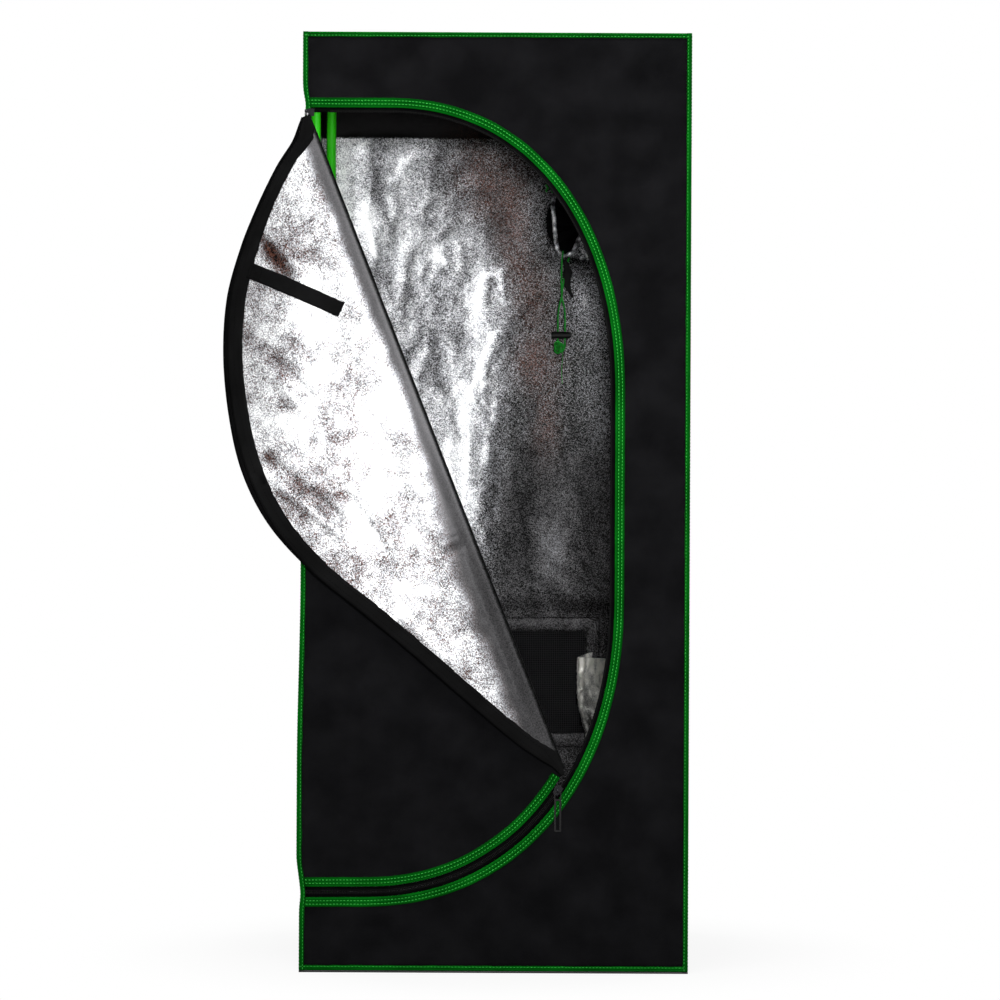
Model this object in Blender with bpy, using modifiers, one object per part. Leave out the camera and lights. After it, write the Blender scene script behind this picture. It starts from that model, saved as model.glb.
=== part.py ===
"""Indoor grow tent: a steel pole frame in a lined cloth cover, its D-shaped door unzipped and folded back.

X runs right, Y to the back and Z up, in metres. The origin is the middle of the floor's underside.
"""

import math

import bmesh
import bpy
from mathutils import Matrix, Vector

# Driving sizes of the whole tent
TENT_WIDTH = 0.610
TENT_DEPTH = 0.610
TENT_HEIGHT = 1.475
CLEARANCE = 0.0003
CUT_OVERRUN = 0.010
WELD_DISTANCE = 0.000001

# Cloth, bindings and webbing
CLOTH = 0.0012
FLOOR_CLOTH = 0.0030
BINDING_THICKNESS = 0.0012
BINDING_WIDTH = 0.0080
TRIM_WIDTH = 0.0148
TAPE_WIDTH = 0.0080
TAPE_THICKNESS = 0.0008
COIL_WIDTH = 0.0030
COIL_HEIGHT = 0.0010

# Pole frame
POLE_RADIUS = 0.0080
POLE_WALL = 0.0010
POLE_INSET = 0.0194
POLE_SIDES = 16
SWAGE_LENGTH = 0.040
SWAGE_HEIGHT = 0.700
SOCKET_LENGTH = 0.042
SOCKET_WALL = 0.0017
SOCKET_FLOOR = 0.014

# Zip line of the door, which runs from the left edge over the top, down the right and back below;
# widths are shares of the tent's width, and heights of its height
ZIP_SIDE_SHARE = 0.294262
ZIP_TOP_SHARE = 0.913898
ZIP_FOOT_SHARE = 0.085220
TOP_CORNER_WIDTH_SHARE = 0.572131
TOP_CORNER_HEIGHT_SHARE = 0.302373
FOOT_CORNER_WIDTH_SHARE = 0.640984
FOOT_CORNER_HEIGHT_SHARE = 0.315254
ZIP_SIDE_X = TENT_WIDTH * ZIP_SIDE_SHARE
ZIP_TOP_Z = TENT_HEIGHT * ZIP_TOP_SHARE
ZIP_FOOT_Z = TENT_HEIGHT * ZIP_FOOT_SHARE
TOP_CORNER_WIDTH = TENT_WIDTH * TOP_CORNER_WIDTH_SHARE
TOP_CORNER_HEIGHT = TENT_HEIGHT * TOP_CORNER_HEIGHT_SHARE
FOOT_CORNER_WIDTH = TENT_WIDTH * FOOT_CORNER_WIDTH_SHARE
FOOT_CORNER_HEIGHT = TENT_HEIGHT * FOOT_CORNER_HEIGHT_SHARE
CORNER_STEPS = 12
CORNER_BEND_SHARE = 0.909

# Straight fold of the door, from the top left corner down to the lower zip slider
FOLD_SIDE_GAP = 0.0026
FOLD_HEAD_RISE = 0.0020
FOLD_FOOT_WIDTH_SHARE = 0.183443
FOLD_FOOT_HEIGHT_SHARE = 0.204136
LOWER_SLIDER_SHARE = 0.194576
FOLD_TOP_X = -TENT_WIDTH / 2 + FOLD_SIDE_GAP
FOLD_TOP_Z = ZIP_TOP_Z + FOLD_HEAD_RISE
FOLD_FOOT_X = TENT_WIDTH * FOLD_FOOT_WIDTH_SHARE
FOLD_FOOT_Z = TENT_HEIGHT * FOLD_FOOT_HEIGHT_SHARE
FOLD_RADIUS = 0.0060
LOWER_SLIDER_Z = TENT_HEIGHT * LOWER_SLIDER_SHARE

# Rear duct port and vent window
PORT_WIDTH_SHARE = 0.249180
PORT_HEIGHT_SHARE = 0.828475
WINDOW_WIDTH_SHARE = 0.511475
WINDOW_FOOT_SHARE = 0.230508
PORT_X = TENT_WIDTH * PORT_WIDTH_SHARE
PORT_Z = TENT_HEIGHT * PORT_HEIGHT_SHARE
PORT_RADIUS = 0.0675
WINDOW_WIDTH = TENT_WIDTH * WINDOW_WIDTH_SHARE
WINDOW_FOOT_Z = TENT_HEIGHT * WINDOW_FOOT_SHARE
WINDOW_HEIGHT = 0.1770

# Planes that the cloth pieces share
BINDING_DEPTH = BINDING_THICKNESS + CLEARANCE
SKIN_X = TENT_WIDTH / 2 - BINDING_DEPTH
SKIN_Y = TENT_DEPTH / 2 - BINDING_DEPTH
BINDING_FOOT_Z = FLOOR_CLOTH + CLEARANCE
WALL_FOOT_Z = BINDING_FOOT_Z + BINDING_DEPTH
ROOF_TOP_Z = TENT_HEIGHT - BINDING_DEPTH
WALL_TOP_Z = ROOF_TOP_Z - CLOTH - CLEARANCE
POLE_X = TENT_WIDTH / 2 - POLE_INSET
POLE_Y = TENT_DEPTH / 2 - POLE_INSET
SOCKET_RADIUS = POLE_RADIUS + CLEARANCE + SOCKET_WALL
BASE_RAIL_Z = FLOOR_CLOTH + CLEARANCE + SOCKET_RADIUS
TOP_RAIL_Z = ROOF_TOP_Z - CLOTH - CLEARANCE - SOCKET_RADIUS
TRIM_END = TAPE_WIDTH + CLEARANCE + TRIM_WIDTH


def clear_scene():
    for thing in list(bpy.data.objects):
        bpy.data.objects.remove(thing, do_unlink=True)


def new_collection(name):
    collection = bpy.data.collections.new(name)
    bpy.context.scene.collection.children.link(collection)
    return collection


clear_scene()
PARTS = new_collection("grow_tent")
HELPERS = new_collection("cutters_and_profiles")


def new_material(name, colour, roughness, metallic=0.0):
    material = bpy.data.materials.new(name)
    material.use_nodes = True
    shader = material.node_tree.nodes["Principled BSDF"]
    shader.inputs["Base Color"].default_value = (*colour, 1.0)
    shader.inputs["Roughness"].default_value = roughness
    shader.inputs["Metallic"].default_value = metallic
    material.diffuse_color = (*colour, 1.0)
    return material


BLACK_CLOTH = new_material("black_cloth", (0.012, 0.012, 0.013), 0.75)
BLACK_WEBBING = new_material("black_webbing", (0.006, 0.006, 0.006), 0.85)
GREEN_BINDING = new_material("green_binding", (0.02, 0.30, 0.03), 0.7)
GREEN_STEEL = new_material("green_steel", (0.04, 0.52, 0.03), 0.3, 0.1)
GREEN_CORD = new_material("green_cord", (0.03, 0.35, 0.04), 0.8)
BLACK_PLASTIC = new_material("black_plastic", (0.01, 0.01, 0.01), 0.45)
SILVER_LINING = new_material("silver_lining", (0.78, 0.79, 0.80), 0.25, 0.9)
ZIP_METAL = new_material("zip_metal", (0.45, 0.45, 0.46), 0.35, 1.0)


def add_object(name, data, material, collection=PARTS):
    thing = bpy.data.objects.new(name, data)
    if not data.materials:
        data.materials.append(material)
    collection.objects.link(thing)
    return thing


def mesh_of(work, name):
    """A mesh from a bmesh, smooth except across its sharp edges."""
    bmesh.ops.recalc_face_normals(work, faces=work.faces)
    mesh = bpy.data.meshes.new(name)
    work.to_mesh(mesh)
    work.free()
    mesh.shade_smooth()
    mesh.set_sharp_from_angle(angle=math.radians(40))
    return mesh


def helper(thing):
    thing.hide_render = True
    thing.display_type = "WIRE"
    return thing


def box_mesh(name, low, high):
    work = bmesh.new()
    bmesh.ops.create_cube(work, size=1.0)
    low = Vector(low)
    high = Vector(high)
    size = high - low
    place = Matrix.Translation((low + high) / 2) @ Matrix.Diagonal((*size, 1.0))
    bmesh.ops.transform(work, matrix=place, verts=work.verts)
    return mesh_of(work, name)


def rod_mesh(name, start, end, radius, sides=POLE_SIDES):
    """A solid round bar from one point to another."""
    start = Vector(start)
    run = Vector(end) - start
    work = bmesh.new()
    bmesh.ops.create_cone(
        work, cap_ends=True, segments=sides, radius1=radius, radius2=radius, depth=run.length
    )
    turn = run.to_track_quat("Z", "Y").to_matrix().to_4x4()
    place = Matrix.Translation(start + run / 2) @ turn
    bmesh.ops.transform(work, matrix=place, verts=work.verts)
    return mesh_of(work, name)


def boolean(target, operation, mesh, name):
    """Cut or join a mesh, which is placed in the target's own frame."""
    tool = helper(add_object(name, mesh, BLACK_PLASTIC, HELPERS))
    tool.parent = target
    modifier = target.modifiers.new(name, "BOOLEAN")
    modifier.operation = operation
    modifier.solver = "EXACT"
    modifier.object = tool


def turned(name, profile, material, steps=POLE_SIDES):
    """A turned piece: a closed profile of (radius, height), listed clockwise, swept round Z."""
    mesh = bpy.data.meshes.new(name)
    points = [(radius, 0.0, height) for radius, height in profile]
    edges = [(i, (i + 1) % len(points)) for i in range(len(points))]
    mesh.from_pydata(points, edges, [])
    thing = add_object(name, mesh, material)
    screw = thing.modifiers.new("turn", "SCREW")
    screw.steps = steps
    screw.render_steps = steps
    screw.use_merge_vertices = True
    screw.merge_threshold = WELD_DISTANCE
    return thing


def add_loop(curve, points):
    spline = curve.splines.new("POLY")
    spline.points.add(len(points) - 1)
    for spot, point in zip(spline.points, points):
        spot.co = (point[0], point[1], 0.0, 1.0)
    spline.use_cyclic_u = True


def outline(name, loops, thickness, material):
    """A flat sheet in local X and Y from its outline and its holes."""
    curve = bpy.data.curves.new(name, "CURVE")
    curve.dimensions = "2D"
    curve.fill_mode = "BOTH"
    curve.extrude = thickness / 2
    for loop in loops:
        add_loop(curve, loop)
    return add_object(name, curve, material)


def stand_up(thing, y):
    """Turn a flat sheet upright, its face to the front, with its middle plane at this depth."""
    thing.rotation_euler = (math.pi / 2, 0.0, 0.0)
    thing.location = (0.0, y, 0.0)
    return thing


def right_of(step):
    return Vector((step.y, -step.x)).normalized()


def shifted(points, inset):
    """A path moved to the right of its direction, with mitred corners."""
    result = []
    for i, point in enumerate(points):
        before = right_of(point - points[i - 1]) if i else None
        after = right_of(points[i + 1] - point) if i + 1 < len(points) else None
        before = before or after
        after = after or before
        mitre = (before + after).normalized()
        result.append(point + mitre * (inset / mitre.dot(before)))
    return result


def corner(centre, width, height, foot=False):
    """A rounded corner of the door, clockwise, as a superellipse quarter."""
    points = []
    for step in range(CORNER_STEPS + 1):
        turn = math.pi / 2 * step / CORNER_STEPS
        if foot:
            turn = math.pi / 2 - turn
        across = width * abs(math.sin(turn)) ** CORNER_BEND_SHARE
        up = height * abs(math.cos(turn)) ** CORNER_BEND_SHARE
        points.append(Vector((centre[0] + across, centre[1] + (-up if foot else up))))
    return points


def zip_path(left_x):
    top_centre = (ZIP_SIDE_X - TOP_CORNER_WIDTH, ZIP_TOP_Z - TOP_CORNER_HEIGHT)
    foot_centre = (ZIP_SIDE_X - FOOT_CORNER_WIDTH, ZIP_FOOT_Z + FOOT_CORNER_HEIGHT)
    path = [Vector((left_x, ZIP_TOP_Z))]
    path += corner(top_centre, TOP_CORNER_WIDTH, TOP_CORNER_HEIGHT)
    path += corner(foot_centre, FOOT_CORNER_WIDTH, FOOT_CORNER_HEIGHT, foot=True)
    path.append(Vector((left_x, ZIP_FOOT_Z)))
    return path


FOLD_TOP = Vector((FOLD_TOP_X, FOLD_TOP_Z))
FOLD_RUN = Vector((FOLD_FOOT_X, FOLD_FOOT_Z)) - FOLD_TOP
FOLD_LENGTH = FOLD_RUN.length
FOLD_DOWN = FOLD_RUN.normalized()
FOLD_ACROSS = Vector((-FOLD_DOWN.y, FOLD_DOWN.x))


def beyond_fold(point):
    """How far a point of the front plane lies to the right of the fold."""
    return (point - FOLD_TOP).dot(FOLD_ACROSS)


def point_at_height(path, z):
    """Where the lower half of a path passes a height, its direction there and the next point."""
    for i, (a, b) in enumerate(zip(path, path[1:])):
        if a.y >= z > b.y and z < (ZIP_TOP_Z + ZIP_FOOT_Z) / 2:
            return a.lerp(b, (a.y - z) / (a.y - b.y)), (b - a).normalized(), i + 1
    raise ValueError("the path doesn't pass that height")


def after_fold(path, gap):
    """The end of a path from where it last crosses the fold, less a gap."""
    last = max(i for i, point in enumerate(path) if beyond_fold(point) > -gap)
    a = path[last]
    b = path[last + 1]
    share = (beyond_fold(a) + gap) / (beyond_fold(a) - beyond_fold(b))
    return [a.lerp(b, share)] + path[last + 1 :]


def swept(name, path, profile, y, material):
    """A band along a path of the front plane, from a clockwise profile of (inset, forward)."""
    section = bpy.data.curves.new(name + "_profile", "CURVE")
    section.dimensions = "2D"
    add_loop(section, profile)
    guide = helper(add_object(name + "_profile", section, material, HELPERS))
    curve = bpy.data.curves.new(name, "CURVE")
    curve.dimensions = "2D"
    curve.fill_mode = "NONE"
    curve.bevel_mode = "OBJECT"
    curve.bevel_object = guide
    curve.use_fill_caps = True
    spline = curve.splines.new("POLY")
    spline.points.add(len(path) - 1)
    for spot, point in zip(spline.points, path):
        spot.co = (point.x, point.y, 0.0, 1.0)
    return stand_up(add_object(name, curve, material), y)


def band(name, path, start, end, thickness, y, material):
    """A flat band between two insets of a path, its back at the given depth."""
    profile = [(start, 0.0), (start, thickness), (end, thickness), (end, 0.0)]
    return swept(name, path, profile, y, material)


# Pole frame: uprights in two swaged halves, rails and three-way corners


def signs():
    """The four uprights: name, side of X and side of Y."""
    yield "front_left", -1, -1
    yield "front_right", 1, -1
    yield "rear_left", -1, 1
    yield "rear_right", 1, 1


def tube_profile(bottom, top):
    inner = POLE_RADIUS - POLE_WALL
    return [(inner, bottom), (inner, top), (POLE_RADIUS, top), (POLE_RADIUS, bottom)]


def build_uprights():
    foot = BASE_RAIL_Z + SOCKET_FLOOR + CLEARANCE
    head = TOP_RAIL_Z - SOCKET_FLOOR - CLEARANCE
    spigot = POLE_RADIUS - POLE_WALL - CLEARANCE
    spigot_bore = spigot - POLE_WALL
    bore = POLE_RADIUS - POLE_WALL
    spigot_foot = SWAGE_HEIGHT - SWAGE_LENGTH
    shoulder = SWAGE_HEIGHT + CLEARANCE
    for name, side_x, side_y in signs():
        lower = turned("upright_lower_" + name, tube_profile(foot, SWAGE_HEIGHT), GREEN_STEEL)
        upper_profile = [
            (spigot_bore, spigot_foot),
            (spigot_bore, shoulder),
            (bore, shoulder + SWAGE_LENGTH / 4),
            (bore, head),
            (POLE_RADIUS, head),
            (POLE_RADIUS, shoulder),
            (spigot, shoulder),
            (spigot, spigot_foot),
        ]
        upper = turned("upright_upper_" + name, upper_profile, GREEN_STEEL)
        for thing in (lower, upper):
            thing.location = (side_x * POLE_X, side_y * POLE_Y, 0.0)


def build_rails():
    inset = SOCKET_FLOOR + CLEARANCE
    for level, height in (("base", BASE_RAIL_Z), ("top", TOP_RAIL_Z)):
        for name, side in (("front", -1), ("rear", 1)):
            half = POLE_X - inset
            rail = turned(f"{level}_rail_{name}", tube_profile(-half, half), GREEN_STEEL)
            rail.rotation_euler = (0.0, math.pi / 2, 0.0)
            rail.location = (0.0, side * POLE_Y, height)
        for name, side in (("left", -1), ("right", 1)):
            half = POLE_Y - inset
            rail = turned(f"{level}_rail_{name}", tube_profile(-half, half), GREEN_STEEL)
            rail.rotation_euler = (math.pi / 2, 0.0, 0.0)
            rail.location = (side * POLE_X, 0.0, height)


def corner_mesh():
    """A three-way corner with its sockets along +X, +Y and +Z."""
    directions = [Vector((1, 0, 0)), Vector((0, 1, 0)), Vector((0, 0, 1))]
    hub = add_object(
        "corner_hub",
        rod_mesh("corner_hub", (0.0, 0.0, -SOCKET_RADIUS), directions[2] * SOCKET_LENGTH, SOCKET_RADIUS),
        BLACK_PLASTIC,
        HELPERS,
    )
    for i, direction in enumerate(directions[:2]):
        arm = rod_mesh("arm", -direction * SOCKET_RADIUS, direction * SOCKET_LENGTH, SOCKET_RADIUS)
        boolean(hub, "UNION", arm, f"corner_arm_{i}")
    for i, direction in enumerate(directions):
        start = direction * SOCKET_FLOOR
        end = direction * (SOCKET_LENGTH + CUT_OVERRUN)
        bore = rod_mesh("bore", start, end, POLE_RADIUS + CLEARANCE)
        boolean(hub, "DIFFERENCE", bore, f"corner_bore_{i}")
    bpy.context.view_layer.update()
    graph = bpy.context.evaluated_depsgraph_get()
    mesh = bpy.data.meshes.new_from_object(hub.evaluated_get(graph))
    mesh.name = "three_way_corner"
    helpers = [hub, *hub.children]
    for thing in helpers:
        bpy.data.objects.remove(thing, do_unlink=True)
    return mesh


def build_corners():
    mesh = corner_mesh()
    for level, height, side_z in (("base", BASE_RAIL_Z, 1), ("top", TOP_RAIL_Z, -1)):
        for name, side_x, side_y in signs():
            x = Vector((-side_x, 0, 0))
            y = Vector((0, -side_y, 0))
            z = Vector((0, 0, side_z))
            # The three sockets are alike, so swapping two of them turns a mirror image into a rotation.
            columns = (x, y, z) if x.cross(y).dot(z) > 0 else (y, x, z)
            turn = Matrix(columns).transposed().to_4x4()
            place = Matrix.Translation((side_x * POLE_X, side_y * POLE_Y, height))
            thing = add_object(f"{level}_corner_{name}", mesh, BLACK_PLASTIC)
            thing.matrix_world = place @ turn


HANGER_ROD_RADIUS = 0.0060
HANGER_CLIP_WIDTH = 0.014
HANGER_CLIP_WALL = 0.0016
HANGER_SPACING = 0.240
CLIP_STEPS = 12


def build_hanging_bars():
    """Two bars that clip over the side rails and slide along them."""
    inner = POLE_RADIUS + CLEARANCE
    outer = inner + HANGER_CLIP_WALL
    start = math.radians(-20)
    sweep = math.radians(220)
    turns = [start + sweep * i / CLIP_STEPS for i in range(CLIP_STEPS + 1)]
    clip = [(outer * math.cos(t), outer * math.sin(t)) for t in turns]
    clip += [(inner * math.cos(t), inner * math.sin(t)) for t in reversed(turns)]
    for name, side in (("front", -1), ("rear", 1)):
        reach = POLE_X - inner - HANGER_CLIP_WALL / 2
        rod = rod_mesh("rod", (-reach, 0.0, 0.0), (reach, 0.0, 0.0), HANGER_ROD_RADIUS, 12)
        bar = add_object("hanging_bar_" + name, rod, GREEN_STEEL)
        bar.location = (0.0, side * HANGER_SPACING / 2, TOP_RAIL_Z)
        for end in (-1, 1):
            label = f"clip_{name}_{'left' if end < 0 else 'right'}"
            guide = outline(label, [clip], HANGER_CLIP_WIDTH, GREEN_STEEL)
            place = Matrix.Translation((end * POLE_X, 0.0, 0.0)) @ Matrix.Rotation(math.pi / 2, 4, "X")
            mesh = solid_from(guide, place)
            boolean(bar, "UNION", mesh, label)
        reach += HANGER_CLIP_WALL
        hollow = HANGER_ROD_RADIUS - POLE_WALL
        bore = rod_mesh("bore", (-reach, 0.0, 0.0), (reach, 0.0, 0.0), hollow, 12)
        boolean(bar, "DIFFERENCE", bore, "bar_bore_" + name)


def solid_from(guide, place):
    """The welded mesh of a curve object, which is then removed."""
    bpy.context.view_layer.update()
    graph = bpy.context.evaluated_depsgraph_get()
    mesh = bpy.data.meshes.new_from_object(guide.evaluated_get(graph))
    work = bmesh.new()
    work.from_mesh(mesh)
    bmesh.ops.remove_doubles(work, verts=work.verts, dist=WELD_DISTANCE)
    bmesh.ops.transform(work, matrix=place, verts=work.verts)
    bmesh.ops.recalc_face_normals(work, faces=work.faces)
    work.to_mesh(mesh)
    work.free()
    bpy.data.objects.remove(guide, do_unlink=True)
    return mesh


# Cover: six sheets of lined cloth, edge binding, trims and zip tapes


def rectangle(left, right, foot, top):
    return [(left, foot), (left, top), (right, top), (right, foot)]


def circle(x, z, radius, sides):
    turns = [2 * math.pi * i / sides for i in range(sides)]
    return [(x + radius * math.cos(t), z + radius * math.sin(t)) for t in turns]


PORT_SIDES = 40


def build_walls():
    front_mid = -SKIN_Y + CLOTH / 2
    hole = shifted(zip_path(-SKIN_X), -TAPE_WIDTH - CLEARANCE)
    front = [(-SKIN_X, WALL_FOOT_Z), (SKIN_X, WALL_FOOT_Z), (SKIN_X, WALL_TOP_Z), (-SKIN_X, WALL_TOP_Z)]
    stand_up(outline("front_panel", [front + hole], CLOTH, BLACK_CLOTH), front_mid)

    window_top = WINDOW_FOOT_Z + WINDOW_HEIGHT
    rear = [
        rectangle(-SKIN_X, SKIN_X, WALL_FOOT_Z, WALL_TOP_Z),
        circle(PORT_X, PORT_Z, PORT_RADIUS, PORT_SIDES),
        rectangle(-WINDOW_WIDTH / 2, WINDOW_WIDTH / 2, WINDOW_FOOT_Z, window_top),
    ]
    stand_up(outline("rear_panel", rear, CLOTH, BLACK_CLOTH), -front_mid)

    side_y = SKIN_Y - CLOTH - CLEARANCE
    for name, side in (("left", -1), ("right", 1)):
        outer = side * SKIN_X
        inner = side * (SKIN_X - CLOTH)
        low = (min(outer, inner), -side_y, WALL_FOOT_Z)
        high = (max(outer, inner), side_y, WALL_TOP_Z)
        add_object(name + "_panel", box_mesh(name, low, high), BLACK_CLOTH)
    low = (-SKIN_X, -SKIN_Y, ROOF_TOP_Z - CLOTH)
    add_object("roof_panel", box_mesh("roof", low, (SKIN_X, SKIN_Y, ROOF_TOP_Z)), BLACK_CLOTH)
    low = (-TENT_WIDTH / 2, -TENT_DEPTH / 2, 0.0)
    high = (TENT_WIDTH / 2, TENT_DEPTH / 2, FLOOR_CLOTH)
    add_object("floor_panel", box_mesh("floor", low, high), BLACK_CLOTH)


def build_edge_binding():
    """Binding folded over all twelve edges: a thin box with a window cut through every face."""
    half = Vector((TENT_WIDTH / 2, TENT_DEPTH / 2, (TENT_HEIGHT - BINDING_FOOT_Z) / 2))
    centre = (TENT_HEIGHT + BINDING_FOOT_Z) / 2
    binding = add_object("edge_binding", box_mesh("binding", -half, half), GREEN_BINDING)
    binding.location = (0.0, 0.0, centre)
    wall = Vector((BINDING_THICKNESS,) * 3)
    boolean(binding, "DIFFERENCE", box_mesh("hollow", -half + wall, half - wall), "binding_hollow")
    for axis, name in enumerate("xyz"):
        reach = half - Vector((BINDING_WIDTH,) * 3)
        reach[axis] = half[axis] + CUT_OVERRUN
        boolean(binding, "DIFFERENCE", box_mesh("window", -reach, reach), "binding_window_" + name)


def tape_profile(side):
    """Zip tape with half of the coil on its inner edge, at the zip line; side is -1 outside, 1 inside."""
    near = side * CLEARANCE / 2
    coil = side * (CLEARANCE / 2 + COIL_WIDTH)
    far = side * TAPE_WIDTH
    points = [
        (near, 0.0),
        (near, TAPE_THICKNESS + COIL_HEIGHT),
        (coil, TAPE_THICKNESS + COIL_HEIGHT),
        (coil, TAPE_THICKNESS),
        (far, TAPE_THICKNESS),
        (far, 0.0),
    ]
    return points if side > 0 else points[::-1]


def build_opening_edge():
    left = -TENT_WIDTH / 2 + BINDING_WIDTH + CLEARANCE
    tape_back = -SKIN_Y + TAPE_THICKNESS
    trim_back = -SKIN_Y - CLEARANCE
    trim_thickness = BINDING_THICKNESS
    path = zip_path(left)
    band("opening_trim", path, -TRIM_END, -TAPE_WIDTH, trim_thickness, trim_back, GREEN_BINDING)
    swept("opening_zip_tape", path, tape_profile(-1), tape_back, BLACK_WEBBING)

    start, _, following = point_at_height(path, LOWER_SLIDER_Z)
    closed = [start] + path[following:]
    swept("door_zip_tape", closed, tape_profile(1), tape_back, BLACK_WEBBING)
    trim_line = shifted(path, TAPE_WIDTH + CLEARANCE)
    trim_path = after_fold(trim_line, FOLD_RADIUS)
    band("door_trim", trim_path, 0.0, TRIM_WIDTH, trim_thickness, trim_back, GREEN_BINDING)

    cloth_line = after_fold(shifted(zip_path(-SKIN_X), TAPE_WIDTH + CLEARANCE), CLEARANCE)
    top = ZIP_TOP_Z - TAPE_WIDTH - CLEARANCE
    down = (FOLD_TOP_Z - top) / -FOLD_DOWN.y
    fold_head = FOLD_TOP + FOLD_DOWN * down - FOLD_ACROSS * CLEARANCE
    panel = cloth_line + [Vector((-SKIN_X, top)), fold_head]
    stand_up(outline("door_panel", [panel], CLOTH, BLACK_CLOTH), -SKIN_Y + CLOTH / 2)


# Folded part of the door: the roll along the fold and the flap that hangs back over the left edge

# Down the fold and out to the free edge, both as shares of the fold's length
FLAP_EDGE_SHARES = (
    (0.0165, 0.0140),
    (0.0360, 0.0330),
    (0.0600, 0.0665),
    (0.1020, 0.1135),
    (0.1450, 0.1552),
    (0.2020, 0.1986),
    (0.2780, 0.2332),
    (0.3600, 0.2545),
    (0.4400, 0.2633),
    (0.5200, 0.2540),
    (0.6000, 0.2230),
    (0.6800, 0.1773),
    (0.7600, 0.1330),
    (0.8400, 0.0913),
    (0.9200, 0.0480),
    (0.9600, 0.0205),
    (0.9720, 0.0100),
)
FLAP_ROWS_PER_STATION = 2
FLAP_COLUMNS = 8
FLAP_TAPER = 0.034
FLAP_Y = -SKIN_Y + CLOTH / 2 - 2 * FOLD_RADIUS
OVERHANG_GAP = 0.002
OVERHANG_START_X = -TENT_WIDTH / 2 - OVERHANG_GAP
OVERHANG = 0.119
CURL_DEPTH = 0.068
CURL_FOOT_SHARE = 0.433898
CURL_HEAD_SHARE = 0.650847
CURL_FOOT_Z = TENT_HEIGHT * CURL_FOOT_SHARE
CURL_HEAD_Z = TENT_HEIGHT * CURL_HEAD_SHARE
BELLY = 0.007
NORMAL_STEP = 0.001


def smooth_step(value):
    value = min(1.0, max(0.0, value))
    return value * value * (3 - 2 * value)


def spline_point(table, place):
    """A point of the smooth curve through a table of points; whole places are the table's own."""
    i = min(int(place), len(table) - 2)
    t = place - i
    p1 = Vector(table[i])
    p2 = Vector(table[i + 1])
    p0 = Vector(table[i - 1]) if i else 2 * p1 - p2
    p3 = Vector(table[i + 2]) if i + 2 < len(table) else 2 * p2 - p1
    bend = 2 * p0 - 5 * p1 + 4 * p2 - p3
    twist = 3 * p1 - p0 - 3 * p2 + p3
    return (2 * p1 + (p2 - p0) * t + bend * t * t + twist * t**3) / 2


def flap_depth(x, z):
    """Depth of the flap's middle surface: it lies before the door and curls back past the tent's edge."""
    spot = Vector((x, z)) - FOLD_TOP
    down = spot.dot(FOLD_DOWN) / FOLD_LENGTH
    out = -spot.dot(FOLD_ACROSS) / (2 * OVERHANG)
    past = max(0.0, OVERHANG_START_X - x) / OVERHANG
    fade = smooth_step((z - CURL_FOOT_Z) / (CURL_HEAD_Z - CURL_FOOT_Z))
    belly = BELLY * smooth_step(out) * math.sin(math.pi * min(1.0, max(0.0, down))) ** 2
    return FLAP_Y - belly + CURL_DEPTH * fade * past * past


def flap_point(down, out, lift):
    """A point of the flap, raised off its middle surface towards the front by the lift."""
    spot = FOLD_TOP + FOLD_DOWN * down - FOLD_ACROSS * out
    return lifted_point(spot.x, spot.y, lift)


def lifted_point(x, z, lift):
    here = flap_depth(x, z)
    slope_x = (flap_depth(x + NORMAL_STEP, z) - here) / NORMAL_STEP
    slope_z = (flap_depth(x, z + NORMAL_STEP) - here) / NORMAL_STEP
    normal = Vector((slope_x, -1.0, slope_z)).normalized()
    return Vector((x, here, z)) + normal * lift


def flap_stations():
    """Distance down the fold and out to the free edge, for each row of the flap."""
    count = (len(FLAP_EDGE_SHARES) - 1) * FLAP_ROWS_PER_STATION
    for row in range(count + 1):
        down, out = spline_point(FLAP_EDGE_SHARES, row / FLAP_ROWS_PER_STATION)
        yield down * FOLD_LENGTH, out * FOLD_LENGTH


def grid_mesh(name, rows):
    work = bmesh.new()
    grid = [[work.verts.new(point) for point in row] for row in rows]
    for upper, lower in zip(grid, grid[1:]):
        for i in range(len(upper) - 1):
            work.faces.new((upper[i], upper[i + 1], lower[i + 1], lower[i]))
    return mesh_of(work, name)


def sheet(name, rows, thickness, material):
    """A grid of points made into cloth of this thickness, half of it on each side."""
    thing = add_object(name, grid_mesh(name, rows), material)
    solidify = thing.modifiers.new("thickness", "SOLIDIFY")
    solidify.thickness = thickness
    solidify.offset = 0.0
    return thing


def flap_rows(edges, lift):
    """Rows of flap points; each edge is a distance in from the free edge, drawn in at the tips."""
    for down, out in flap_stations():
        taper = min(1.0, out / FLAP_TAPER)
        yield [flap_point(down, out - edge * taper, lift) for edge in edges]


def build_flap():
    rows = []
    for down, out in flap_stations():
        taper = min(1.0, out / FLAP_TAPER)
        cloth_edge = out - (TAPE_WIDTH + CLEARANCE) * taper
        inner = out - TRIM_END * taper
        start = CLEARANCE / 2
        shares = [i / FLAP_COLUMNS for i in range(FLAP_COLUMNS + 1)]
        places = [start + (inner - start) * share for share in shares] + [cloth_edge]
        rows.append([flap_point(down, place, 0.0) for place in places])
    pieces = [sheet("door_flap", rows, CLOTH, BLACK_CLOTH)]

    edges = (TRIM_END, TAPE_WIDTH + CLEARANCE)
    back = -(CLOTH + BINDING_THICKNESS) / 2 - CLEARANCE
    pieces.append(sheet("flap_trim", list(flap_rows(edges, back)), BINDING_THICKNESS, GREEN_BINDING))
    front = (CLOTH + TAPE_THICKNESS) / 2 + CLEARANCE
    pieces.append(sheet("flap_light_band", list(flap_rows(edges, front)), TAPE_THICKNESS, BLACK_WEBBING))
    pieces.append(build_flap_tape())
    return pieces


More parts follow.
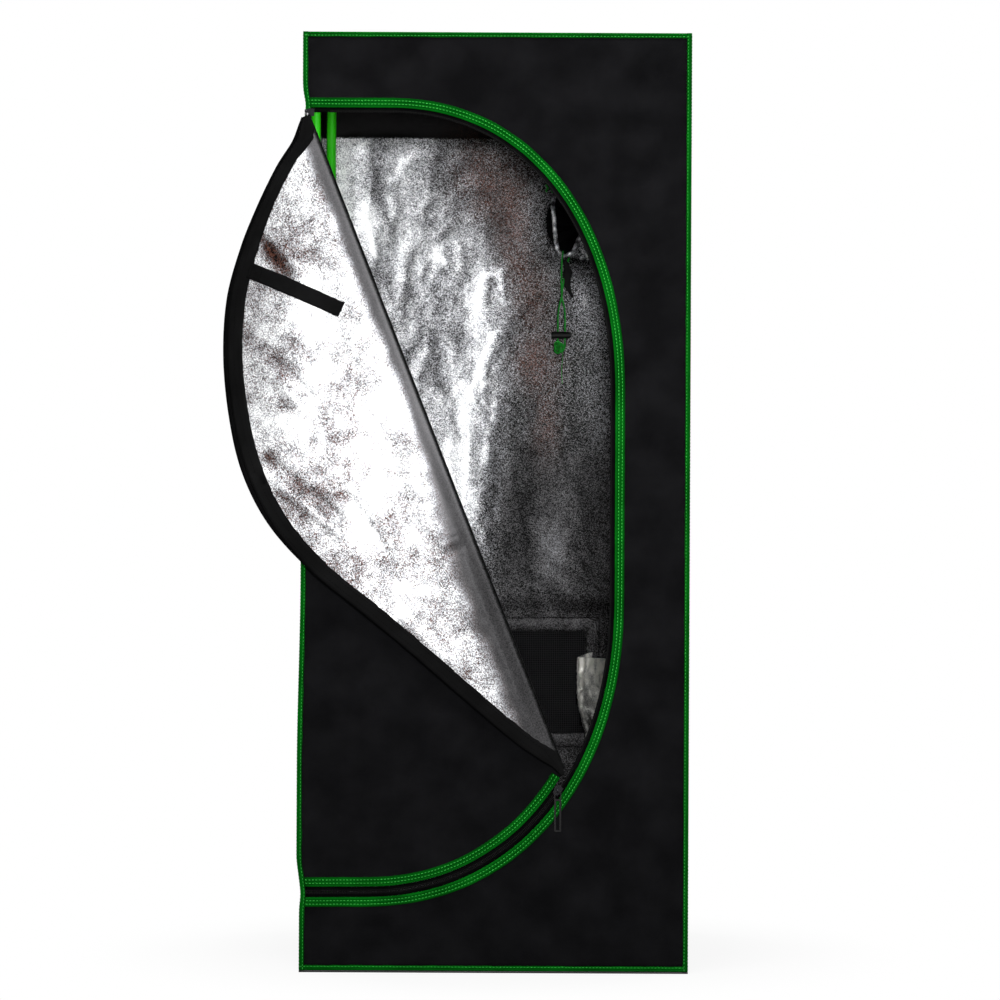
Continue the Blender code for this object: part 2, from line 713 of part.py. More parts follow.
def build_flap_tape():
    """Tape along the free edge, with the coil on its outer side, lofted row by row."""
    face = TAPE_THICKNESS / 2
    profile = (
        (0.0, face),
        (TAPE_WIDTH, face),
        (TAPE_WIDTH, -face),
        (COIL_WIDTH, -face),
        (COIL_WIDTH, -face - COIL_HEIGHT),
        (0.0, -face - COIL_HEIGHT),
    )
    work = bmesh.new()
    rings = []
    for down, out in flap_stations():
        taper = min(1.0, out / FLAP_TAPER)
        points = [flap_point(down, out - edge * taper, lift) for edge, lift in profile]
        rings.append([work.verts.new(point) for point in points])
    for ring, following in zip(rings, rings[1:]):
        for i in range(len(ring)):
            j = (i + 1) % len(ring)
            work.faces.new((ring[i], ring[j], following[j], following[i]))
    work.faces.new(rings[0])
    work.faces.new(rings[-1])
    return add_object("flap_zip_tape", mesh_of(work, "flap_zip_tape"), BLACK_WEBBING)


FOLD_STEPS = 8


def build_fold():
    """The roll of cloth that joins the closed door to the flap."""
    middle = -SKIN_Y + CLOTH / 2 - FOLD_RADIUS
    first, last = FLAP_EDGE_SHARES[0][0], FLAP_EDGE_SHARES[-1][0]
    rows = []
    for share in (first, last):
        base = FOLD_TOP + FOLD_DOWN * share * FOLD_LENGTH
        row = []
        for step in range(FOLD_STEPS + 1):
            turn = math.pi * step / FOLD_STEPS
            spot = base + FOLD_ACROSS * (FOLD_RADIUS * math.sin(turn) + CLEARANCE / 2)
            row.append((spot.x, middle + FOLD_RADIUS * math.cos(turn), spot.y))
        rows.append(row)
    sheet("door_fold", rows, CLOTH, BLACK_CLOTH)


# Ends of the strap's middle line, seen from the front: from the tent's left edge, and in height
STRAP_SEWN_REACH = 0.0820
STRAP_TIP_INSET = 0.0633
STRAP_SEWN_SHARE = 0.746441
STRAP_TIP_SHARE = 0.703729
STRAP_SEWN_X = -TENT_WIDTH / 2 - STRAP_SEWN_REACH
STRAP_SEWN_Z = TENT_HEIGHT * STRAP_SEWN_SHARE
STRAP_TIP_X = -TENT_WIDTH / 2 + STRAP_TIP_INSET
STRAP_TIP_Z = TENT_HEIGHT * STRAP_TIP_SHARE
STRAP_WIDTH = 0.0250
STRAP_THICKNESS = 0.0014
STRAP_LIFT = 0.0025
STRAP_STEPS = 8


def build_strap():
    """Tie strap, sewn to the band at its left end and lying loose on the flap."""
    sewn = Vector((STRAP_SEWN_X, STRAP_SEWN_Z))
    tip = Vector((STRAP_TIP_X, STRAP_TIP_Z))
    side = right_of(tip - sewn) * STRAP_WIDTH / 2
    rows = []
    for step in range(STRAP_STEPS + 1):
        middle = sewn.lerp(tip, step / STRAP_STEPS)
        ends = (middle - side, middle + side)
        rows.append([lifted_point(spot.x, spot.y, STRAP_LIFT) for spot in ends])
    return sheet("flap_tie_strap", rows, STRAP_THICKNESS, BLACK_WEBBING)


# Zip sliders, each with a bail and a hanging pull

SLIDER_LENGTH = 0.0150
SLIDER_WIDTH = 0.0115
SLIDER_WAIST = 0.0085
SLIDER_PLATE = 0.0010
SLIDER_BACK_Y = -TENT_DEPTH / 2 - CLEARANCE
BRIDGE_GAP = 0.0012
BRIDGE_WIDTH = 0.0030
BRIDGE_LENGTH = 0.0040
BAIL_HOLE_RADIUS = 0.0030
BAIL_WALL = 0.0009
BAIL_WIDTH = 0.0018
LOWER_PULL_WIDTH = 0.0110
UPPER_PULL_WIDTH = 0.0060
PULL_THICKNESS = 0.0014
PULL_RIM = 0.0014
PULL_EYE = 0.0110
LOWER_PULL_LENGTH = 0.0640
UPPER_PULL_LENGTH = 0.0142
ROUND_STEPS = 4


def rounded(left, right, foot, top, radius):
    points = []
    centres = ((right, top, 0), (left, top, 1), (left, foot, 2), (right, foot, 3))
    for x, z, quarter in centres:
        cx = x - radius if x == right else x + radius
        cz = z - radius if z == top else z + radius
        for step in range(ROUND_STEPS + 1):
            turn = math.pi / 2 * (quarter + step / ROUND_STEPS)
            points.append((cx + radius * math.cos(turn), cz + radius * math.sin(turn)))
    return points


def build_slider(name, centre, tilt, door_side, bail_shift):
    """Two plates joined by a bridge in the open end of the zip, with a bail on the front one.

    The tilt turns the plates' open end, at local +Z, along the open zip. The door lies on the
    door side, -1 or 1, of local X, and the bail sits off the middle by its shift, towards the closed end.
    """
    half = SLIDER_LENGTH / 2
    wide = SLIDER_WIDTH / 2
    waist = SLIDER_WAIST / 2
    plate = [(-waist, -half), (waist, -half), (wide, 0.0), (wide, half), (-wide, half), (-wide, 0.0)]
    front_face = SLIDER_BACK_Y - SLIDER_PLATE
    rear_face = -SKIN_Y + CLOTH + CLEARANCE
    upright = Matrix.Rotation(math.pi / 2, 4, "X")
    turn = Matrix.Rotation(tilt, 4, "Y")

    def plate_mesh(y):
        guide = outline("plate", [plate], SLIDER_PLATE, ZIP_METAL)
        return solid_from(guide, Matrix.Translation((0.0, y, 0.0)) @ turn @ upright)

    slider = add_object(name, plate_mesh(SLIDER_BACK_Y - SLIDER_PLATE / 2), ZIP_METAL)
    slider.location = (centre.x, 0.0, centre.y)
    boolean(slider, "UNION", plate_mesh(rear_face + SLIDER_PLATE / 2), name + "_rear_plate")
    sides = (door_side * BRIDGE_GAP, door_side * (BRIDGE_GAP + BRIDGE_WIDTH))
    low = (min(sides), front_face + SLIDER_PLATE / 2, half - BRIDGE_LENGTH)
    high = (max(sides), rear_face + SLIDER_PLATE / 2, half - SLIDER_PLATE / 2)
    bridge = box_mesh("bridge", low, high)
    bridge.transform(turn)
    boolean(slider, "UNION", bridge, name + "_bridge")

    bail_y = front_face - BAIL_HOLE_RADIUS
    reach = Vector((BAIL_WIDTH / 2, 0.0, 0.0))
    middle = turn @ Vector((0.0, 0.0, -bail_shift))
    middle.y = bail_y
    ring = rod_mesh("bail", middle - reach, middle + reach, BAIL_HOLE_RADIUS + BAIL_WALL)
    boolean(slider, "UNION", ring, name + "_bail")
    reach = reach * 2
    hole = rod_mesh("hole", middle - reach, middle + reach, BAIL_HOLE_RADIUS - CLEARANCE)
    boolean(slider, "DIFFERENCE", hole, name + "_bail_hole")
    return slider


def build_pull(name, centre, width, length):
    """A stamped tab with an eye round the bail and a slot below; its origin is the eye's top bar."""
    half = width / 2
    rim = PULL_RIM
    top = rim / 2
    eye_foot = top - rim - PULL_EYE
    foot = top - length
    loops = [
        rounded(-half, half, foot, top, rim * 3 / 2),
        rounded(-half + rim, half - rim, eye_foot, top - rim, rim),
    ]
    if length > 3 * PULL_EYE:
        loops.append(rounded(-half + 2 * rim, half - 2 * rim, foot + 2 * rim, eye_foot - 2 * rim, rim))
    pull = outline(name, loops, PULL_THICKNESS, ZIP_METAL)
    bail_y = SLIDER_BACK_Y - SLIDER_PLATE - BAIL_HOLE_RADIUS
    seat = BAIL_HOLE_RADIUS - CLEARANCE
    drop = math.sqrt(seat**2 - (PULL_THICKNESS / 2) ** 2) - rim / 2 - CLEARANCE
    pull.rotation_euler = (math.pi / 2, 0.0, 0.0)
    pull.location = (centre.x, bail_y, centre.y - drop)
    return pull


UPPER_BAIL_SHIFT = 0.0050


def build_zip_hardware():
    place, direction, _ = point_at_height(zip_path(-SKIN_X), LOWER_SLIDER_Z)
    tilt = math.atan2(-direction.x, -direction.y)
    build_slider("lower_zip_slider", place, tilt, -1, 0.0)
    build_pull("lower_zip_pull", place, LOWER_PULL_WIDTH, LOWER_PULL_LENGTH)
    place = Vector((-SKIN_X + CLOTH + CLEARANCE + SLIDER_LENGTH / 2, ZIP_TOP_Z))
    build_slider("upper_zip_slider", place, math.pi / 2, 1, UPPER_BAIL_SHIFT)
    place.x -= UPPER_BAIL_SHIFT
    build_pull("upper_zip_pull", place, UPPER_PULL_WIDTH, UPPER_PULL_LENGTH)


# Rear duct port: gathered cuff inside, sleeve drawn shut outside, with their cords

PLEATS = 10
POINTS_PER_PLEAT = 4
CUFF_LENGTH = 0.026
SLEEVE_LENGTH = 0.115
CORD_RADIUS = 0.0015
PORT_PUSH = Vector((PORT_X, 0.0, PORT_Z))
# Along the tube, radius, and pleat height, as shares of its length and of the port's radius
CUFF_SHARES = ((0.0, 0.985, 0.000), (0.45, 1.030, 0.020), (0.8, 1.000, 0.035), (1.0, 1.020, 0.045))
SLEEVE_SHARES = (
    (0.00, 0.985, 0.000),
    (0.20, 1.020, 0.020),
    (0.45, 0.900, 0.045),
    (0.66, 0.560, 0.055),
    (0.80, 0.215, 0.028),
    (0.87, 0.205, 0.028),
    (1.00, 0.420, 0.085),
)


def pleated_rows(shares, start_y, run):
    """Rings of a gathered tube along Y round the port."""
    count = PLEATS * POINTS_PER_PLEAT
    for along, radius, height in shares:
        ring = []
        for i in range(count + 1):
            turn = 2 * math.pi * (i % count) / count
            reach = PORT_RADIUS * (radius + height * math.cos(PLEATS * turn))
            ring.append(
                PORT_PUSH
                + Vector((reach * math.cos(turn), start_y + run * along, reach * math.sin(turn)))
            )
        yield ring


def pleated_tube(name, shares, start_y, run, material):
    thing = sheet(name, list(pleated_rows(shares, start_y, run)), CLOTH, material)
    work = bmesh.new()
    work.from_mesh(thing.data)
    bmesh.ops.remove_doubles(work, verts=work.verts, dist=WELD_DISTANCE)
    bmesh.ops.recalc_face_normals(work, faces=work.faces)
    work.to_mesh(thing.data)
    work.free()
    return thing


def cord(name, points, radius, material, closed=False):
    curve = bpy.data.curves.new(name, "CURVE")
    curve.dimensions = "3D"
    curve.bevel_depth = radius
    curve.bevel_resolution = 2
    curve.use_fill_caps = True
    spline = curve.splines.new("POLY")
    spline.points.add(len(points) - 1)
    for spot, point in zip(spline.points, points):
        spot.co = (*point, 1.0)
    spline.use_cyclic_u = closed
    return add_object(name, curve, material)


LOCK_LENGTH = 0.0340
LOCK_RADIUS = 0.0060
LOCK_BUTTON_RADIUS = 0.0040
LOCK_BUTTON_TRAVEL = 0.0030
LOCK_WALL = 0.0020
LOCK_X = 0.1112
LOCK_Y = 0.2700
LOCK_Z = 1.0250
STRAND_SPACING = 0.0120
# Route of the hanging cord, from the left end of the cuff's hem round its loop and up to the other end
CORD_ROUTE = (
    (0.1133, 0.2756, 1.1686),
    (0.1132, 0.2728, 1.1684),
    (0.1127, 0.2706, 1.1650),
    (0.1117, 0.2700, 1.1550),
    (0.1108, 0.2702, 1.1380),
    (0.1108, 0.2706, 1.1200),
    (0.1108, 0.2716, 1.1040),
    (0.1122, 0.2722, 1.0880),
    (0.1160, 0.2708, 1.0720),
    (0.1172, 0.2700, 1.0580),
    (0.1172, 0.2700, 1.0400),
    (0.1172, 0.2700, 1.0120),
    (0.1160, 0.2700, 1.0015),
    (0.1112, 0.2700, 0.9965),
    (0.1064, 0.2700, 1.0015),
    (0.1052, 0.2700, 1.0120),
    (0.1052, 0.2700, 1.0400),
    (0.1052, 0.2700, 1.0580),
    (0.1066, 0.2692, 1.0720),
    (0.1104, 0.2678, 1.0880),
    (0.1126, 0.2682, 1.1040),
    (0.1150, 0.2690, 1.1200),
    (0.1185, 0.2698, 1.1380),
    (0.1222, 0.2706, 1.1540),
    (0.1232, 0.2728, 1.1575),
    (0.1234, 0.2756, 1.1577),
)
CORD_POINTS_PER_STEP = 2


def build_port():
    inner_y = SKIN_Y - CLOTH - CLEARANCE
    outer_y = SKIN_Y + CLEARANCE
    pleated_tube("inner_duct_cuff", CUFF_SHARES, inner_y, -CUFF_LENGTH, SILVER_LINING)
    pleated_tube("outer_duct_sleeve", SLEEVE_SHARES, outer_y, SLEEVE_LENGTH, BLACK_CLOTH)

    steps = (len(CORD_ROUTE) - 1) * CORD_POINTS_PER_STEP
    route = [spline_point(CORD_ROUTE, i / CORD_POINTS_PER_STEP) for i in range(steps + 1)]
    cord("inner_drawcord", route, CORD_RADIUS, GREEN_CORD)

    neck_y = outer_y + SLEEVE_LENGTH * (SLEEVE_SHARES[4][0] + SLEEVE_SHARES[5][0]) / 2
    ring_radius = PORT_RADIUS * (SLEEVE_SHARES[4][1] + SLEEVE_SHARES[4][2])
    ring_radius += CLOTH / 2 + CLEARANCE + CORD_RADIUS
    ring = []
    for i in range(PLEATS * 2):
        turn = 2 * math.pi * i / (PLEATS * 2)
        place = Vector((ring_radius * math.cos(turn), neck_y, ring_radius * math.sin(turn)))
        ring.append(PORT_PUSH + place)
    cord("outer_drawcord", ring, CORD_RADIUS, GREEN_CORD, closed=True)


def build_cord_lock():
    """Barrel with a hole for each strand, and the spring-loaded button in its right end."""
    middle = Vector((LOCK_X, LOCK_Y, LOCK_Z))
    half = LOCK_LENGTH / 2
    body_end = half - LOCK_BUTTON_TRAVEL
    barrel = rod_mesh("barrel", (-half, 0.0, 0.0), (body_end, 0.0, 0.0), LOCK_RADIUS)
    lock = add_object("inner_cord_lock", barrel, BLACK_PLASTIC)
    lock.location = middle
    for name, side in (("left", -1), ("right", 1)):
        x = side * STRAND_SPACING / 2
        reach = LOCK_RADIUS + CUT_OVERRUN
        hole = rod_mesh("hole", (x, 0.0, -reach), (x, 0.0, reach), CORD_RADIUS + CLEARANCE, 12)
        boolean(lock, "DIFFERENCE", hole, "lock_hole_" + name)
    socket_floor = STRAND_SPACING / 2 + CORD_RADIUS + CLEARANCE + LOCK_WALL
    bore = LOCK_BUTTON_RADIUS + CLEARANCE
    socket = rod_mesh("socket", (socket_floor, 0.0, 0.0), (half, 0.0, 0.0), bore)
    boolean(lock, "DIFFERENCE", socket, "lock_socket")
    stem_start = socket_floor + LOCK_BUTTON_TRAVEL + CLEARANCE
    stem = rod_mesh("stem", (stem_start, 0.0, 0.0), (half, 0.0, 0.0), LOCK_BUTTON_RADIUS)
    button = add_object("cord_lock_button", stem, BLACK_PLASTIC)
    button.location = middle


# Vent window: net, with a lining flap inside that hangs open at the right

NET_COLUMNS = 12
NET_ROWS = 7
NET_BAR = 0.0024
NET_THICKNESS = 0.0010
VENT_FLAP_HEIGHT = 0.196
VENT_FLAP_LENGTH = 0.330
VENT_HINGE_GAP = 0.0140
VENT_HINGE_X = WINDOW_WIDTH / 2 + VENT_HINGE_GAP
VENT_OPEN_ANGLE = math.radians(100)
VENT_WAVE = 0.006
VENT_WAVES = 3
VENT_STEPS = 18


def build_window():
    foot = WINDOW_FOOT_Z + CLEARANCE
    top = WINDOW_FOOT_Z + WINDOW_HEIGHT - CLEARANCE
    left = -WINDOW_WIDTH / 2 + CLEARANCE
    loops = [rectangle(left, -left, foot, top)]
    pitch_x = (-2 * left - NET_BAR) / NET_COLUMNS
    pitch_z = (top - foot - NET_BAR) / NET_ROWS
    for column in range(NET_COLUMNS):
        for row in range(NET_ROWS):
            x = left + NET_BAR + column * pitch_x
            z = foot + NET_BAR + row * pitch_z
            loops.append(rectangle(x, x + pitch_x - NET_BAR, z, z + pitch_z - NET_BAR))
    stand_up(outline("vent_net", loops, NET_THICKNESS, BLACK_WEBBING), SKIN_Y - CLOTH / 2)

    hinge_y = SKIN_Y - CLOTH - CLEARANCE - CLOTH / 2
    middle = WINDOW_FOOT_Z + WINDOW_HEIGHT / 2
    rows = []
    for height in (middle - VENT_FLAP_HEIGHT / 2, middle + VENT_FLAP_HEIGHT / 2):
        row = []
        for step in range(VENT_STEPS + 1):
            share = step / VENT_STEPS
            wave = VENT_WAVE * math.sin(VENT_WAVES * 2 * math.pi * share) * smooth_step(3 * share)
            row.append((-share * VENT_FLAP_LENGTH, -abs(wave), height))
        rows.append(row)
    flap = sheet("vent_flap", rows, CLOTH, SILVER_LINING)
    flap.location = (VENT_HINGE_X, hinge_y, 0.0)
    flap.rotation_euler = (0.0, 0.0, VENT_OPEN_ANGLE)


TRAY_INSET = 0.070
TRAY_SIDE = TENT_WIDTH - TRAY_INSET
TRAY_HEIGHT = 0.050
TRAY_WALL = 0.0012
TRAY_CORNER = 0.020
TRAY_CORNER_STEPS = 3


def build_tray():
    """Loose waterproof tray that lies on the floor inside the base rails."""
    half = TRAY_SIDE / 2
    wall = TRAY_WALL / 2
    low = Vector((-half + wall, -half + wall, 0.0))
    high = Vector((half - wall, half - wall, TRAY_HEIGHT))
    mesh = box_mesh("tray", low, high)
    work = bmesh.new()
    work.from_mesh(mesh)
    lid = [face for face in work.faces if face.normal.z > 0.5]
    bmesh.ops.delete(work, geom=lid, context="FACES")
    upright = [edge for edge in work.edges if abs(edge.verts[0].co.z - edge.verts[1].co.z) > TRAY_WALL]
    bmesh.ops.bevel(
        work, geom=upright, offset=TRAY_CORNER, segments=TRAY_CORNER_STEPS, profile=0.5, affect="EDGES"
    )
    tray = add_object("floor_tray", mesh_of(work, "floor_tray"), BLACK_CLOTH)
    solidify = tray.modifiers.new("wall", "SOLIDIFY")
    solidify.thickness = TRAY_WALL
    solidify.offset = 0.0
    tray.location = (0.0, 0.0, FLOOR_CLOTH + CLEARANCE + wall)


build_uprights()
build_rails()
build_corners()
build_hanging_bars()
build_walls()
build_edge_binding()
build_opening_edge()
build_fold()
build_flap()
build_strap()
build_zip_hardware()
build_port()
build_cord_lock()
build_window()
build_tray()
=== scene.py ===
"""Indoor grow tent: steel poles in a black cloth cover lined with mirror film, its D-shaped door folded back.

Metres, X to the right, Y to the back and Z up. The origin is the middle of the floor's underside.
"""

import math

import bmesh
import bpy
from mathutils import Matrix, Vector, geometry, noise


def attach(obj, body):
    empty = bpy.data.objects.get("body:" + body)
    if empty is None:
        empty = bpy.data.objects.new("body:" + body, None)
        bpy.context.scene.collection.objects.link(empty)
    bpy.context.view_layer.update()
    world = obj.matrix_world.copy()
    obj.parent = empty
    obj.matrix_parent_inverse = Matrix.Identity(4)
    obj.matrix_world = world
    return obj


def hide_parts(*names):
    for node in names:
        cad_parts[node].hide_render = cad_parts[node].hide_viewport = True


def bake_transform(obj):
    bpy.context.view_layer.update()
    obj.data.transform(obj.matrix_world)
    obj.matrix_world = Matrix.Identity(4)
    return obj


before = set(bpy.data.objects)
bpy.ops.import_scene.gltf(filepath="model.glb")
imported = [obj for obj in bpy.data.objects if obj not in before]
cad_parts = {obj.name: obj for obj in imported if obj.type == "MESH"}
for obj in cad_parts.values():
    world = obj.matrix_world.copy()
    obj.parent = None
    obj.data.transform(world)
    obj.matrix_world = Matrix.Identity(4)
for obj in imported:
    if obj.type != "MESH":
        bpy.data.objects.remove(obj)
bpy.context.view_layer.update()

# Camera: straight in front of the door at half the tent's height and far off, so that the sides hardly
# show. It is rolled a hair, because the uprights lean by that much in the photograph.

CAMERA_PLACE = (0.0071, -6.405, 0.7417)
CAMERA_ROLL = -0.0048
CAMERA_LENS = 140.1

camera_data = bpy.data.cameras.new("camera")
camera_data.lens = CAMERA_LENS
camera_data.clip_end = 100.0
camera = bpy.data.objects.new("camera", camera_data)
camera.location = CAMERA_PLACE
camera.rotation_euler = (math.pi / 2, CAMERA_ROLL, 0.0)
bpy.context.scene.collection.objects.link(camera)
bpy.context.scene.camera = camera

# Drawcord of the duct cuff: three twisted green plies, 3 mm thick. It comes out of the cuff's hem, hangs
# through the cord lock, turns back below it and runs up into the hem again. A knot holds the loop together.

CORD_ROUTE = (
    (0.1133, 0.2756, 1.1686),
    (0.1132, 0.2728, 1.1684),
    (0.1127, 0.2706, 1.1650),
    (0.1117, 0.2700, 1.1550),
    (0.1108, 0.2702, 1.1380),
    (0.1108, 0.2706, 1.1200),
    (0.1108, 0.2716, 1.1040),
    (0.1122, 0.2722, 1.0880),
    (0.1160, 0.2708, 1.0720),
    (0.1172, 0.2700, 1.0580),
    (0.1172, 0.2700, 1.0400),
    (0.1172, 0.2700, 1.0120),
    (0.1160, 0.2700, 1.0015),
    (0.1112, 0.2700, 0.9965),
    (0.1064, 0.2700, 1.0015),
    (0.1052, 0.2700, 1.0120),
    (0.1052, 0.2700, 1.0400),
    (0.1052, 0.2700, 1.0580),
    (0.1066, 0.2692, 1.0720),
    (0.1104, 0.2678, 1.0880),
    (0.1126, 0.2682, 1.1040),
    (0.1150, 0.2690, 1.1200),
    (0.1185, 0.2698, 1.1380),
    (0.1222, 0.2706, 1.1540),
    (0.1232, 0.2728, 1.1575),
    (0.1234, 0.2756, 1.1577),
)
CORD_DIAMETER = 0.0030
CORD_PLIES = 3
CORD_TWIST = 0.0090
LOOSE_ROUTE = (
    (0.0960, 0.2880, 1.2700),
    (0.0905, 0.2800, 1.2790),
    (0.0870, 0.2735, 1.2850),
    (0.0840, 0.2722, 1.2815),
    (0.0868, 0.2716, 1.2775),
    (0.0838, 0.2710, 1.2735),
    (0.0850, 0.2708, 1.2700),
)
KNOT_PLACE = Vector((0.1065, 0.2690, 1.0040))
KNOT_SIZE = 0.0056
KNOT_TUCK = 0.0024
KNOT_STRAND = 0.0042
TAIL_DIAMETER = 0.0012
TAIL_ROUTE = (
    (0.1125, 0.2668, 0.9960),
    (0.1130, 0.2655, 0.9930),
    (0.1131, 0.2652, 0.9880),
    (0.1126, 0.2654, 0.9800),
    (0.1118, 0.2657, 0.9700),
    (0.1117, 0.2656, 0.9600),
    (0.1124, 0.2653, 0.9500),
    (0.1129, 0.2652, 0.9420),
)


def spline_point(table, place):
    """A point of the smooth curve through a table of points; whole places are the table's own."""
    i = min(int(place), len(table) - 2)
    t = place - i
    p1 = Vector(table[i])
    p2 = Vector(table[i + 1])
    p0 = Vector(table[i - 1]) if i else 2 * p1 - p2
    p3 = Vector(table[i + 2]) if i + 2 < len(table) else 2 * p2 - p1
    bend = 2 * p0 - 5 * p1 + 4 * p2 - p3
    twist = 3 * p1 - p0 - 3 * p2 + p3
    return (2 * p1 + (p2 - p0) * t + bend * t * t + twist * t**3) / 2


def smooth_route(table, per_step):
    steps = (len(table) - 1) * per_step
    return [spline_point(table, i / per_step) for i in range(steps + 1)]


def length_of(points):
    return sum((b - a).length for a, b in zip(points, points[1:]))


def ripple(x, y, z):
    """Smooth noise, from about -1 to 1."""
    return noise.noise(Vector((x, y, z)))


def turns_of(count):
    """Angles at even steps once round."""
    return [2 * math.pi * i / count for i in range(count)]


def feed(tree, socket, source):
    """Give a node's input a value, or link it to another node's output."""
    if isinstance(source, bpy.types.NodeSocket):
        tree.links.new(source, socket)
    else:
        socket.default_value = source


def add_node(tree, kind, sources=None, **settings):
    made = tree.nodes.new("ShaderNode" + kind)
    for name, value in settings.items():
        setattr(made, name, value)
    for name, source in (sources or {}).items():
        feed(tree, made.inputs[name], source)
    return made


def reckon(tree, operation, *values):
    """The result of a Math node."""
    made = add_node(tree, "Math", operation=operation)
    for socket, value in zip(made.inputs, values):
        feed(tree, socket, value)
    return made.outputs[0]


def blended(tree, share, first, second):
    """The mix of two colours."""
    made = add_node(tree, "Mix", data_type="RGBA")
    feed(tree, made.inputs[0], share)
    feed(tree, made.inputs[6], first)
    feed(tree, made.inputs[7], second)
    return made.outputs[2]


def new_finish(name, levels):
    """A material, its node tree and its shader, with plain values for some of the shader's inputs."""
    material = bpy.data.materials.new(name)
    material.use_nodes = True
    shader = material.node_tree.nodes["Principled BSDF"]
    for socket, value in levels.items():
        shader.inputs[socket].default_value = value
    return material, material.node_tree, shader


def rough_up(tree, shader, height, distance):
    """Bump the shader by a height, whose full range is the distance in metres."""
    bump = add_node(tree, "Bump", {"Height": height, "Distance": distance, "Strength": 1.0})
    feed(tree, shader.inputs["Normal"], bump.outputs["Normal"])


def cloth_place(tree):
    """Metres along and across a cloth piece."""
    return add_node(tree, "UVMap", uv_map="cloth").outputs["UV"]


def cord_finish(name, dark, light):
    material, tree, shader = new_finish(name, {"Roughness": 0.8, "Specular IOR Level": 0.05})
    place = cloth_place(tree)
    fibre = add_node(tree, "TexNoise", {"Vector": place, "Scale": 1800.0, "Detail": 2.0})
    wear = add_node(tree, "TexNoise", {"Vector": place, "Scale": 60.0, "Detail": 1.0})
    worn = reckon(tree, "MULTIPLY", wear.outputs[0], 0.4)
    share = reckon(tree, "MULTIPLY_ADD", fibre.outputs[0], 0.8, worn)
    feed(tree, shader.inputs["Base Color"], blended(tree, share, (*dark, 1.0), (*light, 1.0)))
    rough_up(tree, shader, fibre.outputs[0], 0.0002)
    return material


def piece(name, points, faces, places, finishes):
    """An object from points and faces; places are each point's metres along and across the cloth."""
    mesh = bpy.data.meshes.new(name)
    mesh.from_pydata([tuple(point) for point in points], [], faces)
    layer = mesh.uv_layers.new(name="cloth")
    spots = []
    for loop in mesh.loops:
        spots.extend(places[loop.vertex_index])
    layer.data.foreach_set("uv", spots)
    for finish in finishes:
        mesh.materials.append(finish)
    mesh.shade_smooth()
    thing = bpy.data.objects.new(name, mesh)
    bpy.context.scene.collection.objects.link(thing)
    return thing


def fit(thing, body, slot, *nodes):
    """Let a piece ride on a body and stand for some of its nodes."""
    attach(thing, body)
    if nodes:
        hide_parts(*nodes)
    return thing


def grid_faces(rows, width, closed=False):
    """Quads between rows of points, each row this many wide; a closed row meets itself."""
    faces = []
    for a in range(0, (rows - 1) * width, width):
        for i in range(width if closed else width - 1):
            j = (i + 1) % width
            faces.append((a + i, a + j, a + width + j, a + width + i))
    return faces


def loft(name, rings, finish, ends=True):
    """A skin over a row of closed rings of points."""
    count = len(rings[0])
    points = []
    places = []
    u = 0.0
    for row, ring in enumerate(rings):
        if row:
            u += (ring[0] - rings[row - 1][0]).length
        v = 0.0
        for i, point in enumerate(ring):
            if i:
                v += (point - ring[i - 1]).length
            points.append(point)
            places.append((u, v))
    faces = grid_faces(len(rings), count, closed=True)
    if ends:
        faces.append(tuple(range(count - 1, -1, -1)))
        faces.append(tuple(range(len(points) - count, len(points))))
    return piece(name, points, faces, places, [finish])


def rope(name, route, diameter, plies, twist, finish, closed=False, sides=14):
    """A twisted cord along a route; a closed one meets itself."""
    rings = []
    side = Vector((0.0, 1.0, 0.0))
    travelled = 0.0
    last = len(route) - 1
    for i, point in enumerate(route):
        before = route[i - 1] if i or closed else point
        after = route[(i + 1) % len(route)] if i < last or closed else point
        forward = (after - before).normalized()
        side = (side - forward * side.dot(forward)).normalized()
        other = forward.cross(side)
        ring = []
        for turn in turns_of(sides):
            lobe = abs(math.cos(plies * turn / 2 - math.pi * plies * travelled / twist))
            reach = diameter / 2 * (0.82 + 0.22 * lobe)
            ring.append(point + (side * math.cos(turn) + other * math.sin(turn)) * reach)
        rings.append(ring)
        if i < last:
            travelled += (route[i + 1] - point).length
    if closed:
        rings.append(rings[0])
    return loft(name, rings, finish, ends=not closed)


green_cord = cord_finish("green_cord", (0.005, 0.120, 0.012), (0.020, 0.280, 0.030))

cord_route = smooth_route(CORD_ROUTE, 10)
drawcord = rope("cuff_drawcord", cord_route, CORD_DIAMETER, CORD_PLIES, CORD_TWIST, green_cord)
fit(drawcord, "tent", "green_cord", "inner_drawcord")

knot_route = []
for turn in turns_of(120):
    reach = KNOT_SIZE + KNOT_TUCK * math.cos(3 * turn)
    across, up = reach * math.cos(2 * turn), 1.25 * reach * math.sin(2 * turn)
    knot_route.append(KNOT_PLACE + Vector((across, -KNOT_TUCK * math.sin(3 * turn), up)))
knot = rope("drawcord_knot", knot_route, KNOT_STRAND, CORD_PLIES, CORD_TWIST, green_cord, closed=True)
fit(knot, "tent", "green_cord")

tail_route = smooth_route(TAIL_ROUTE, 8)
tail = rope("knot_tail", tail_route, TAIL_DIAMETER, 2, CORD_TWIST / 3, green_cord, sides=8)
fit(tail, "tent", "green_cord")

